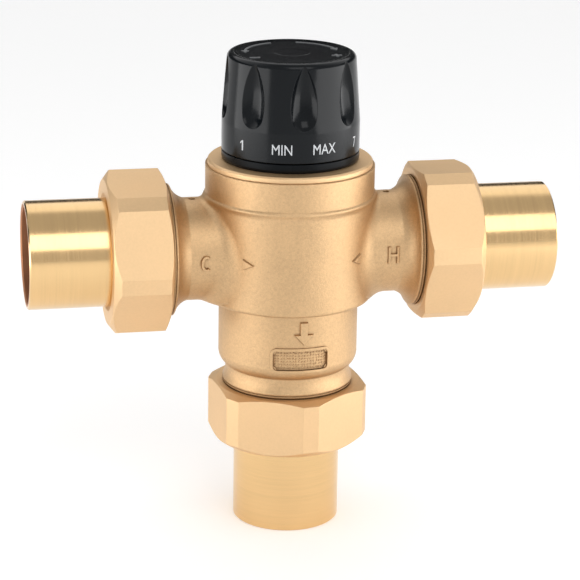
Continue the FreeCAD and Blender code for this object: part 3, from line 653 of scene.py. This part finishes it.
def bar_mark(cx, cy, length, width, level):
    """A short straight bar on the knob's top."""
    bm = bmesh.new()
    x, y = length / 2, width / 2
    corners = [(-x, -y), (x, -y), (x, y), (-x, y)]
    bm.faces.new([bm.verts.new((cx + u, cy + w, 0)) for u, w in corners])
    return seat_mark(bm, level)


class VALVE_OT_knob_top(bpy.types.Operator):
    """Raise the turning arrows with their plus and minus on the knob's top"""
    bl_idname = "valve.knob_top"
    bl_label = "Knob Top Marks"

    def execute(self, context):
        # the marks are the knob's own black plastic; their lighter grey colour is a painted glint
        plastic = moulded_plastic("Mark Plastic Painted Glint", (0.16, 0.165, 0.17), 0.30, 0.40)
        r = 0.0136
        parts = [arc_arrow(r, 0.0007, math.radians(a0), math.radians(a1), 0.0026, KNOB_FACE)
                 for a0, a1 in ((164, 104), (-164, -104))]
        for side in (-1, 1):
            a = math.radians(62 * side)
            x, y = r * math.sin(a), -r * math.cos(a)
            parts.append(bar_mark(x, y, 0.0030, 0.0008, KNOB_FACE))
            if side > 0:
                for up in (-1, 1):
                    parts.append(bar_mark(x, y + up * 0.00095, 0.0008, 0.0011, KNOB_FACE))
        keep_piece("knob_top_marks", joined_mesh(parts), plastic, "knob", math.radians(30))
        return {"FINISHED"}


def start_tree(name, counts, measures):
    """A geometry tree with named inputs for its counts, its measures and its finish."""
    ng = bpy.data.node_groups.new(name, "GeometryNodeTree")
    face = ng.interface
    face.new_socket("Geometry", in_out="INPUT", socket_type="NodeSocketGeometry")
    for label in counts:
        face.new_socket(label, in_out="INPUT", socket_type="NodeSocketInt")
    for label in measures:
        face.new_socket(label, in_out="INPUT", socket_type="NodeSocketFloat")
    face.new_socket("Finish", in_out="INPUT", socket_type="NodeSocketMaterial")
    face.new_socket("Geometry", in_out="OUTPUT", socket_type="NodeSocketGeometry")
    return ng, ng.nodes.new, ng.links.new, ng.nodes.new("NodeGroupInput").outputs


def end_tree(ng, instances, finish):
    """Makes the instances real, gives them their finish and hands them out."""
    new, link = ng.nodes.new, ng.links.new
    real, paint = new("GeometryNodeRealizeInstances"), new("GeometryNodeSetMaterial")
    link(instances, real.inputs["Geometry"])
    link(real.outputs["Geometry"], paint.inputs["Geometry"])
    link(finish, paint.inputs["Material"])
    link(paint.outputs["Geometry"], new("NodeGroupOutput").inputs["Geometry"])
    return ng


def dial_dots_tree():
    """Geometry nodes: dots set evenly on a circle, lying flat on the knob's top."""
    ng, new, link, got = start_tree("Dial Dots", ("Count",),
                                    ("Ring Radius", "Dot Radius", "Dot Height", "Level"))
    circle, dot = new("GeometryNodeMeshCircle"), new("GeometryNodeMeshCylinder")
    dot.inputs["Vertices"].default_value = 16
    link(got["Count"], circle.inputs["Vertices"])
    link(got["Ring Radius"], circle.inputs["Radius"])
    link(got["Dot Radius"], dot.inputs["Radius"])
    link(got["Dot Height"], dot.inputs["Depth"])
    inst, move = new("GeometryNodeInstanceOnPoints"), new("GeometryNodeTransform")
    xyz = new("ShaderNodeCombineXYZ")
    link(circle.outputs["Mesh"], inst.inputs["Points"])
    link(dot.outputs["Mesh"], inst.inputs["Instance"])
    link(got["Level"], xyz.inputs["Z"])
    link(inst.outputs["Instances"], move.inputs["Geometry"])
    link(xyz.outputs["Vector"], move.inputs["Translation"])
    return end_tree(ng, move.outputs["Geometry"], got["Finish"])


def grow(name, tree, values):
    """Runs a tree on an empty object and returns the plain mesh it makes."""
    carrier = bpy.data.objects.new(name + "_carrier", bpy.data.meshes.new(name + "_carrier"))
    bpy.context.scene.collection.objects.link(carrier)
    mod = carrier.modifiers.new("grow", "NODES")
    mod.node_group = tree
    for item in tree.interface.items_tree:
        if item.item_type == "SOCKET" and item.in_out == "INPUT" and item.name in values:
            mod[item.identifier] = values[item.name]
    bpy.context.view_layer.update()
    dg = bpy.context.evaluated_depsgraph_get()
    mesh = bpy.data.meshes.new_from_object(carrier.evaluated_get(dg))
    bpy.data.objects.remove(carrier)
    if not mesh.polygons:
        raise RuntimeError(name + ": the tree made nothing")
    return mesh


class VALVE_OT_dial_dots(bpy.types.Operator):
    """Set the small raised dots of the dial ring on the knob's top"""
    bl_idname = "valve.dial_dots"
    bl_label = "Dial Dots"

    def execute(self, context):
        plastic = NODES["knob"].data.materials[0]
        mesh = grow("dial_dots", dial_dots_tree(), {
            "Count": 48, "Ring Radius": 0.0161, "Dot Radius": 0.00022, "Dot Height": 0.00024,
            "Level": KNOB_FACE, "Finish": plastic})
        keep_piece("dial_dots", mesh, plastic, "knob", math.radians(40))
        return {"FINISHED"}


# ------------------------------------------------------------------ cast blends and marks
def arc_points(a, b, radius, side, count):
    """Points of a round corner from a to b, bulging to one side of the line between."""
    ax, az = a
    bx, bz = b
    half = math.hypot(bx - ax, bz - az) / 2
    sag = radius - math.sqrt(max(radius * radius - half * half, 0))
    nx, nz = (bz - az) / (2 * half) * side, -(bx - ax) / (2 * half) * side
    out = []
    for i in range(count + 1):
        t = -1 + 2 * i / count
        drop = math.sqrt(radius * radius - (t * half) ** 2) - (radius - sag)
        out.append((ax + (bx - ax) * (t + 1) / 2 + nx * drop, az + (bz - az) * (t + 1) / 2 + nz * drop))
    return out


# Barrel and arm as half outlines in millimetres, along their own axes
BARREL_OUTLINE = (
    [(0.0, 40.0), (20.8, 40.0), (20.8, 70.3)]
    + arc_points((23.9, 70.3), (24.8, 71.2), 0.9, 1, 4)
    + arc_points((24.8, 99.5), (25.3, 100.9), 2.4, -1, 4)
    + arc_points((25.3, 100.9), (25.0, 102.1), 0.9, 1, 4)[1:]
    + [(25.0, 116.0), (0.0, 116.0)])
ARM_OUTLINE = [(0.0, 0.0), (0.0, ARM_R / MM), (34.0, ARM_R / MM), (34.0, 0.0)]
# the step under the barrel: how far below the inlets' axis, and the middle of its width
STEP_DROP = 14.4
STEP_R = 22.4


def outline_distance(p, outline):
    """Signed distance from 2D points to a closed outline, negative inside."""
    a = np.asarray(outline)
    b = np.roll(a, -1, axis=0)
    e = b - a
    w = p[:, None, :] - a[None]
    t = np.clip((w * e).sum(-1) / np.maximum((e * e).sum(-1), 1e-12), 0, 1)
    d = np.sqrt(((w - e * t[..., None]) ** 2).sum(-1)).min(1)
    c1 = a[None, :, 1] <= p[:, 1:2]
    c2 = b[None, :, 1] > p[:, 1:2]
    c3 = e[None, :, 0] * w[..., 1] > e[None, :, 1] * w[..., 0]
    flips = ((c1 & c2 & c3) | (~c1 & ~c2 & ~c3)).sum(1)
    return np.where(flips % 2 == 1, -d, d)


def blend_width(z, upper, lower, inlet):
    """Width of the blend at a height: narrow above the inlets and wider below."""
    t = np.clip((inlet + 3.0 - z) / 13.0, 0, 1)
    return upper + (lower - upper) * t * t * (3 - 2 * t)


def blended_distance(p, upper, lower, inlet):
    """Distance to barrel and arm melted into one, with a wider melt below than above."""
    k = blend_width(p[:, 2], upper, lower, inlet)
    barrel = outline_distance(np.stack([np.hypot(p[:, 0], p[:, 1]), p[:, 2]], 1), BARREL_OUTLINE)
    arm = outline_distance(np.stack([np.abs(p[:, 0]), np.hypot(p[:, 1], p[:, 2] - inlet)], 1), ARM_OUTLINE)
    h = np.clip(0.5 + 0.5 * (arm - barrel) / k, 0, 1)
    return arm * (1 - h) + barrel * h - k * h * (1 - h)


def root_band(side, upper, lower, inlet):
    """The soft blend round one arm's root, as a band that melts into both surfaces."""
    turns, across = 168, 24
    arm, barrel = ARM_R / MM, BARREL_R / MM
    grid = np.zeros((turns, across, 3))
    for i in range(turns):
        f = 2 * math.pi * i / turns
        y, dz = -arm * math.cos(f), arm * math.sin(f)
        k = float(blend_width(np.array([inlet + dz]), upper, lower, inlet)[0])
        edge = math.sqrt(barrel ** 2 - y * y)
        reach = 1.45 * k
        out = arm + 1.30 * k
        yo, zo = -out * math.cos(f), max(out * math.sin(f), -arm - 0.9)
        wall = barrel if zo > -STEP_DROP else STEP_R
        inner_x = math.sqrt(max(wall ** 2 - yo * yo, 1.0))
        near, mid, far = (edge + reach, y, dz), (edge, y, dz), (inner_x, yo, zo)
        for j in range(across):
            t = j / (across - 1)
            a, b, c = (1 - t) ** 2, 2 * t * (1 - t), t * t
            x, w, h = (a * near[n] + b * mid[n] + c * far[n] for n in range(3))
            grid[i, j] = (side * x, w, inlet + h)
    p = grid.reshape(-1, 3)
    lift = np.tile(0.075 * np.sin(np.linspace(0, math.pi, across)) - 0.045, turns)
    probe = 0.02
    for _ in range(16):
        d = blended_distance(p, upper, lower, inlet) - lift
        g = np.zeros_like(p)
        for ax in range(3):
            s = np.zeros(3)
            s[ax] = probe
            g[:, ax] = (blended_distance(p + s, upper, lower, inlet)
                        - blended_distance(p - s, upper, lower, inlet)) / (2 * probe)
        g /= np.maximum(np.linalg.norm(g, axis=1), 0.3)[:, None]
        p = p - g * np.clip(d, -1.0, 1.0)[:, None]
    faces = []
    for i in range(turns):
        n = (i + 1) % turns
        for j in range(across - 1):
            faces.append((i * across + j, i * across + j + 1, n * across + j + 1, n * across + j))
    return p * MM, faces


class VALVE_OT_root_blends(bpy.types.Operator):
    """Blend each arm softly into the body, as the forging die leaves it"""
    bl_idname = "valve.root_blends"
    bl_label = "Arm Root Blends"

    def execute(self, context):
        s = context.scene.valve_cast
        for name, side in (("root_blend_hot", 1), ("root_blend_cold", -1)):
            verts, faces = root_band(side, s.root_blend / MM, s.lower_blend / MM, INLET_Z / MM)
            mesh = mesh_from(verts, faces)
            bm = bmesh.new()
            bm.from_mesh(mesh)
            bmesh.ops.recalc_face_normals(bm, faces=bm.faces)
            spin = sum(f.normal.dot(Vector((0, f.calc_center_median().y, f.calc_center_median().z - INLET_Z)))
                       for f in bm.faces)
            if spin < 0:
                bmesh.ops.reverse_faces(bm, faces=bm.faces)
            bm.to_mesh(mesh)
            bm.free()
            o = bpy.data.objects.new(name, mesh)
            bpy.context.scene.collection.objects.link(o)
            wall = o.modifiers.new("wall", "SOLIDIFY")
            wall.thickness = 0.0004
            wall.offset = -1.0
            bpy.context.view_layer.update()
            solid = bpy.data.meshes.new_from_object(o.evaluated_get(bpy.context.evaluated_depsgraph_get()))
            bpy.data.objects.remove(o)
            keep_piece(name, solid, NODES["body"].data.materials[0], "valve", math.radians(50))
        return {"FINISHED"}


def cast_shape(points, relief, draft=0.00024, sink=0.0005, step=0.0005):
    """A raised shape with sloping walls, as a mould leaves it, cut so that it can be bent."""
    bm = bmesh.new()
    ring = [bm.verts.new((x, y, 0)) for x, y in points]
    face = bm.faces.new(ring)
    face.normal_update()
    if face.normal.z < 0:
        face.normal_flip()
    bmesh.ops.inset_region(bm, faces=[face], thickness=draft, use_even_offset=True, use_boundary=True)
    outer = set(ring)
    for v in bm.verts:
        v.co.z = -0.0001 if v in outer else relief
    rim = [e for e in bm.edges if e.is_boundary]
    ret = bmesh.ops.extrude_edge_only(bm, edges=rim)
    low = [g for g in ret["geom"] if isinstance(g, bmesh.types.BMVert)]
    for v in low:
        v.co.z = -sink
    bmesh.ops.contextual_create(bm, geom=[e for e in bm.edges if e.is_boundary])
    bmesh.ops.triangulate(bm, faces=bm.faces[:])
    slice_up(bm, step)
    return bm


def letter_c(width, height, stroke, count=18):
    """The outline of a round C."""
    out, back = [], []
    for i in range(count + 1):
        a = math.radians(48 + 264 * i / count)
        out.append((math.cos(a) * width / 2, math.sin(a) * height / 2))
        back.append((math.cos(a) * (width / 2 - stroke), math.sin(a) * (height / 2 - stroke)))
    return out + back[::-1]


def letter_h(width, height, stroke):
    """The outline of an upright H."""
    w, h, t, b = width / 2, height / 2, stroke, stroke / 2
    return [(-w, -h), (t - w, -h), (t - w, -b), (w - t, -b), (w - t, -h), (w, -h),
            (w, h), (w - t, h), (w - t, b), (t - w, b), (t - w, h), (-w, h)]


def triangle(size, way):
    """A small flow arrow that points to +X or to -X."""
    foot, half = -way * size * 0.5, way * size * 0.46
    return [(foot, half), (foot, -half), (way * size * 0.55, 0)]


def down_arrow(length, width):
    """The outline of a plain flow arrow that points down."""
    w, head = width * 0.20, length * 0.48
    return [(-w, length / 2), (-w, head - length / 2), (-width / 2, head - length / 2), (0, -length / 2),
            (width / 2, head - length / 2), (w, head - length / 2), (w, length / 2)]


def rounded_box(width, height, radius, count=6):
    """The outline of a box with round corners."""
    out = []
    for cx, cy, start in ((1, 1, 0), (-1, 1, 90), (-1, -1, 180), (1, -1, 270)):
        for i in range(count + 1):
            a = math.radians(start + 90 * i / count)
            out.append((cx * (width / 2 - radius) + radius * math.cos(a),
                        cy * (height / 2 - radius) + radius * math.sin(a)))
    return out


def panel_rim(width, height, rim, relief):
    """The narrow raised rim round the sunk panel, sliced so that it can be bent."""
    bm = bmesh.new()
    inner = [bm.verts.new((x, y, 0)) for x, y in rounded_box(width, height, 0.0012)]
    outer = [bm.verts.new((x, y, 0)) for x, y in rounded_box(width + 2 * rim, height + 2 * rim, 0.0012 + rim)]
    n = len(inner)
    for i in range(n):
        bm.faces.new((inner[i], outer[i], outer[(i + 1) % n], inner[(i + 1) % n]))
    slice_up(bm, 0.0006)
    thicken(bm, relief, 0.0007)
    return bm


class VALVE_OT_cast_marks(bpy.types.Operator):
    """Raise the cast letters of the inlets, the small flow arrows and the panel's rim"""
    bl_idname = "valve.cast_marks"
    bl_label = "Cast Marks"

    def execute(self, context):
        s = context.scene.valve_cast
        metal = bpy.data.materials["Forged Brass Marks"]
        pieces = []
        for shape, x, angle in ((letter_c(0.0036, 0.0050, 0.00115), -0.0272, -0.02),
                                (letter_h(0.0037, 0.0053, 0.00110), 0.0284, 0.0)):
            bm = cast_shape(shape, s.mark_relief)
            bend_round(bm, ARM_R, "X", angle, x)
            pieces.append(bm)
        for degrees, way in ((-39.0, 1), (41.0, -1)):
            bm = cast_shape(triangle(0.0038, way), s.mark_relief)
            bend_round(bm, BARREL_R, "Z", math.radians(degrees), INLET_Z)
            pieces.append(bm)
        bm = cast_shape(down_arrow(0.0072, 0.0062), s.mark_relief)
        bend_round(bm, LOWER_R, "Z", math.radians(2), 0.0643)
        pieces.append(bm)
        bm = panel_rim(PANEL_WIDTH, PANEL_HEIGHT, 0.0008, 0.00035)
        bend_round(bm, LOWER_R, "Z", 0.0, PANEL_LEVEL)
        pieces.append(bm)
        keep_piece("cast_marks", joined_mesh(pieces), metal, "valve", math.radians(40))
        return {"FINISHED"}


def stipple_tree():
    """Geometry nodes: a grid of small dots, a little out of line, wrapped on a cylinder."""
    ng, new, link, got = start_tree("Panel Stipple", ("Columns", "Rows", "Seed"),
                                    ("Width", "Height", "Dot Radius", "Wall Radius", "Level", "Stray"))

    def maths(kind, a, b=None):
        n = new("ShaderNodeMath")
        n.operation = kind
        link(a, n.inputs[0])
        if b is not None:
            link(b, n.inputs[1])
        return n.outputs[0]

    grid = new("GeometryNodeMeshGrid")
    for socket, label in (("Size X", "Width"), ("Size Y", "Height"),
                          ("Vertices X", "Columns"), ("Vertices Y", "Rows")):
        link(got[label], grid.inputs[socket])
    spot, parts = new("GeometryNodeInputPosition"), new("ShaderNodeSeparateXYZ")
    stray = new("FunctionNodeRandomValue")
    stray.data_type = "FLOAT_VECTOR"
    stray.inputs["Min"].default_value = (-1, -1, 0)
    stray.inputs["Max"].default_value = (1, 1, 0)
    link(got["Seed"], stray.inputs["Seed"])
    scaled, moved = new("ShaderNodeVectorMath"), new("ShaderNodeVectorMath")
    scaled.operation = "SCALE"
    link(stray.outputs["Value"], scaled.inputs[0])
    link(got["Stray"], scaled.inputs["Scale"])
    link(spot.outputs["Position"], moved.inputs[0])
    link(scaled.outputs["Vector"], moved.inputs[1])
    link(moved.outputs["Vector"], parts.inputs["Vector"])
    turn = maths("DIVIDE", parts.outputs["X"], got["Wall Radius"])
    wrapped = new("ShaderNodeCombineXYZ")
    link(maths("MULTIPLY", maths("SINE", turn), got["Wall Radius"]), wrapped.inputs["X"])
    depth = new("ShaderNodeMath")
    depth.operation = "MULTIPLY"
    depth.inputs[1].default_value = -1.0
    link(maths("MULTIPLY", maths("COSINE", turn), got["Wall Radius"]), depth.inputs[0])
    link(depth.outputs[0], wrapped.inputs["Y"])
    link(maths("ADD", parts.outputs["Y"], got["Level"]), wrapped.inputs["Z"])
    place = new("GeometryNodeSetPosition")
    link(grid.outputs["Mesh"], place.inputs["Geometry"])
    link(wrapped.outputs["Vector"], place.inputs["Position"])
    dot = new("GeometryNodeMeshUVSphere")
    dot.inputs["Segments"].default_value = 8
    dot.inputs["Rings"].default_value = 5
    link(got["Dot Radius"], dot.inputs["Radius"])
    inst = new("GeometryNodeInstanceOnPoints")
    link(place.outputs["Geometry"], inst.inputs["Points"])
    link(dot.outputs["Mesh"], inst.inputs["Instance"])
    return end_tree(ng, inst.outputs["Instances"], got["Finish"])


class VALVE_OT_panel_stipple(bpy.types.Operator):
    """Fill the sunk panel on the front with small cast dots"""
    bl_idname = "valve.panel_stipple"
    bl_label = "Panel Stipple"

    def execute(self, context):
        pitch = context.scene.valve_cast.stipple_pitch
        metal = bpy.data.materials["Forged Brass Marks"]
        inset = 0.0016
        width, height = PANEL_WIDTH - inset, PANEL_HEIGHT - inset
        mesh = grow("panel_stipple", stipple_tree(), {
            "Columns": int(width / pitch) + 1, "Rows": int(height / pitch) + 1, "Seed": 7,
            "Width": width, "Height": height, "Dot Radius": 0.00026,
            "Wall Radius": PANEL_FLOOR_R, "Level": PANEL_LEVEL, "Stray": pitch * 0.14, "Finish": metal})
        keep_piece("panel_stipple", mesh, metal, "valve", math.radians(60))
        return {"FINISHED"}


# ------------------------------------------------------------------ stage
def soft_box(name, size, energy, place, aim):
    """A rectangular lamp that the camera does not see."""
    lamp = bpy.data.lights.new(name, "AREA")
    lamp.shape = "RECTANGLE"
    lamp.size, lamp.size_y = size
    lamp.energy = energy
    o = bpy.data.objects.new(name, lamp)
    bpy.context.scene.collection.objects.link(o)
    o.visible_camera = False
    o.location = place
    o.rotation_euler = (Vector(aim) - Vector(place)).to_track_quat("-Z", "Y").to_euler()
    return o


def around(azimuth, elevation, distance):
    """A place at two angles and a distance from the valve's middle."""
    a, e = math.radians(azimuth), math.radians(elevation)
    return (distance * math.sin(a) * math.cos(e), -distance * math.cos(a) * math.cos(e),
            STAGE_MIDDLE + distance * math.sin(e))


def room_light(scene, level):
    """An even room with a soft band of light behind, over a darker rear wall, and a dim ceiling."""
    world = bpy.data.worlds.new("Room")
    scene.world = world
    world.use_nodes = True
    wt = world.node_tree
    back = wt.nodes["Background"]
    back.inputs["Strength"].default_value = level
    way = wt.nodes.new("ShaderNodeTexCoord")
    split = wt.nodes.new("ShaderNodeSeparateXYZ")
    wt.links.new(way.outputs["Generated"], split.inputs["Vector"])

    def greys(stops):
        return ramp(wt, split.outputs["Z"], [(p, (g, g, g)) for p, g in stops])

    front = greys([(0.0, 0.56), (0.40, 0.58), (0.85, 0.55), (0.93, 0.50), (1.0, 0.50)])
    rear = greys([(0.0, 1.0), (0.04, 1.0), (0.10, 0.05), (0.41, 0.05),
                  (0.46, 1.2), (0.85, 1.15), (0.93, 0.5), (1.0, 0.5)])
    both = add(wt, "ShaderNodeMix", data_type="RGBA")
    wt.links.new(spread(wt, split.outputs["Y"], 0.0, 1.0, -0.25, 0.25), both.inputs[0])
    wt.links.new(front, both.inputs[6])
    wt.links.new(rear, both.inputs[7])
    wt.links.new(both.outputs[2], back.inputs["Color"])


def lay_floor(scene, colour, lift):
    """A wide pale floor that keeps its shadow but looks whiter where the eye, a mirror or glass sees it."""
    half = 12
    mesh = mesh_from([(-half, -half, 0), (half, -half, 0), (half, half, 0), (-half, half, 0)], [(0, 1, 2, 3)])
    mat, nt, bsdf = start_material("Floor Paper")
    fine = noise(nt, place_coords(nt), 300.0, 2.0, 0.5)
    nt.links.new(ramp(nt, fine, [(0.3, tint(colour, 0.995)), (0.7, colour)]), bsdf.inputs["Base Color"])
    bsdf.inputs["Roughness"].default_value = 0.9
    bsdf.inputs["Specular IOR Level"].default_value = 0.1
    rays = add(nt, "ShaderNodeLightPath")
    seen = rays.outputs["Is Camera Ray"]
    for label in ("Is Glossy Ray", "Is Transmission Ray"):
        total = add(nt, "ShaderNodeMath", operation="ADD", use_clamp=True)
        nt.links.new(seen, total.inputs[0])
        nt.links.new(rays.outputs[label], total.inputs[1])
        seen = total.outputs[0]
    bsdf.inputs["Emission Color"].default_value = (1, 1, 1, 1)
    nt.links.new(spread(nt, seen, 0.0, lift), bsdf.inputs["Emission Strength"])
    mesh.materials.append(mat)
    floor = bpy.data.objects.new("floor", mesh)
    scene.collection.objects.link(floor)


def set_camera(scene, azimuth, elevation, roll, distance, lens, aim):
    """A camera at two angles and a distance from its aim point, leaned by the roll."""
    out_dir = Vector((math.sin(azimuth) * math.cos(elevation), -math.cos(azimuth) * math.cos(elevation),
                      math.sin(elevation)))
    right = (-out_dir).cross(Vector((0, 0, 1))).normalized()
    up = right.cross(-out_dir)
    lean, stay = math.sin(roll), math.cos(roll)
    right, up = right * stay + up * lean, up * stay - right * lean
    cam = bpy.data.cameras.new("camera")
    cam.sensor_width = 36.0
    cam.lens = lens
    cam.clip_start = 0.01
    o = bpy.data.objects.new("camera", cam)
    scene.collection.objects.link(o)
    m = Matrix.Identity(4)
    for i in range(3):
        m[i][0], m[i][1], m[i][2] = right[i], up[i], out_dir[i]
    m.translation = aim + out_dir * distance
    o.matrix_world = m
    scene.camera = o


class VALVE_OT_stage(bpy.types.Operator):
    """Set up the pale floor, the soft boxes, the room light and the camera"""
    bl_idname = "valve.stage"
    bl_label = "Stage and Camera"

    def execute(self, context):
        s = context.scene.valve_stage
        scene = context.scene
        lay_floor(scene, tuple(s.floor_colour), s.floor_lift)
        soft_box("key_box", (0.94, 0.88), 5.2, around(7, 42, 1.45), (0, 0, 0.085))
        soft_box("right_box", (0.62, 0.16), 1.00, (0.40, -0.16, 0.09), (0, 0, 0.11))
        soft_box("left_box", (0.56, 0.16), 0.80, (-0.42, -0.06, 0.09), (0, 0, 0.11))
        room_light(scene, s.room_light)
        set_camera(scene, s.azimuth, s.elevation, s.roll, s.distance, 149.73, Vector((0.00055, 0, 0.07118)))
        scene.view_settings.view_transform = "Standard"
        return {"FINISHED"}


class VALVE_PT_panel(bpy.types.Panel):
    """Buttons for each group of pieces"""
    bl_label = "Mixing Valve"
    bl_idname = "VALVE_PT_panel"
    bl_space_type = "VIEW_3D"
    bl_region_type = "UI"
    bl_category = "Valve"

    def draw(self, context):
        for owner, cls in SETTINGS:
            group = getattr(context.scene, owner)
            for key in cls.__annotations__:
                self.layout.prop(group, key)
        for op in OPERATORS:
            self.layout.operator(op.bl_idname)


SETTINGS = (("valve_metals", ValveMetalSettings), ("valve_knob", ValveKnobSettings),
            ("valve_cast", ValveCastSettings), ("valve_stage", ValveStageSettings))
OPERATORS = (VALVE_OT_metals, VALVE_OT_return_spring, VALVE_OT_knob, VALVE_OT_knob_print,
             VALVE_OT_knob_top, VALVE_OT_dial_dots, VALVE_OT_root_blends, VALVE_OT_cast_marks,
             VALVE_OT_panel_stipple, VALVE_OT_stage)


def register():
    for name, cls in SETTINGS:
        bpy.utils.register_class(cls)
        setattr(bpy.types.Scene, name, bpy.props.PointerProperty(type=cls))
    for cls in OPERATORS + (VALVE_PT_panel,):
        bpy.utils.register_class(cls)


def unregister():
    for cls in reversed(OPERATORS + (VALVE_PT_panel,)):
        bpy.utils.unregister_class(cls)
    for name, cls in reversed(SETTINGS):
        delattr(bpy.types.Scene, name)
        bpy.utils.unregister_class(cls)


def main():
    register()
    bpy.ops.valve.metals()
    bpy.ops.valve.return_spring()
    bpy.ops.valve.knob()
    bpy.ops.valve.knob_print()
    bpy.ops.valve.knob_top()
    bpy.ops.valve.dial_dots()
    bpy.ops.valve.root_blends()
    bpy.ops.valve.cast_marks()
    bpy.ops.valve.panel_stipple()
    bpy.ops.valve.stage()


if __name__ == "__main__":
    main()
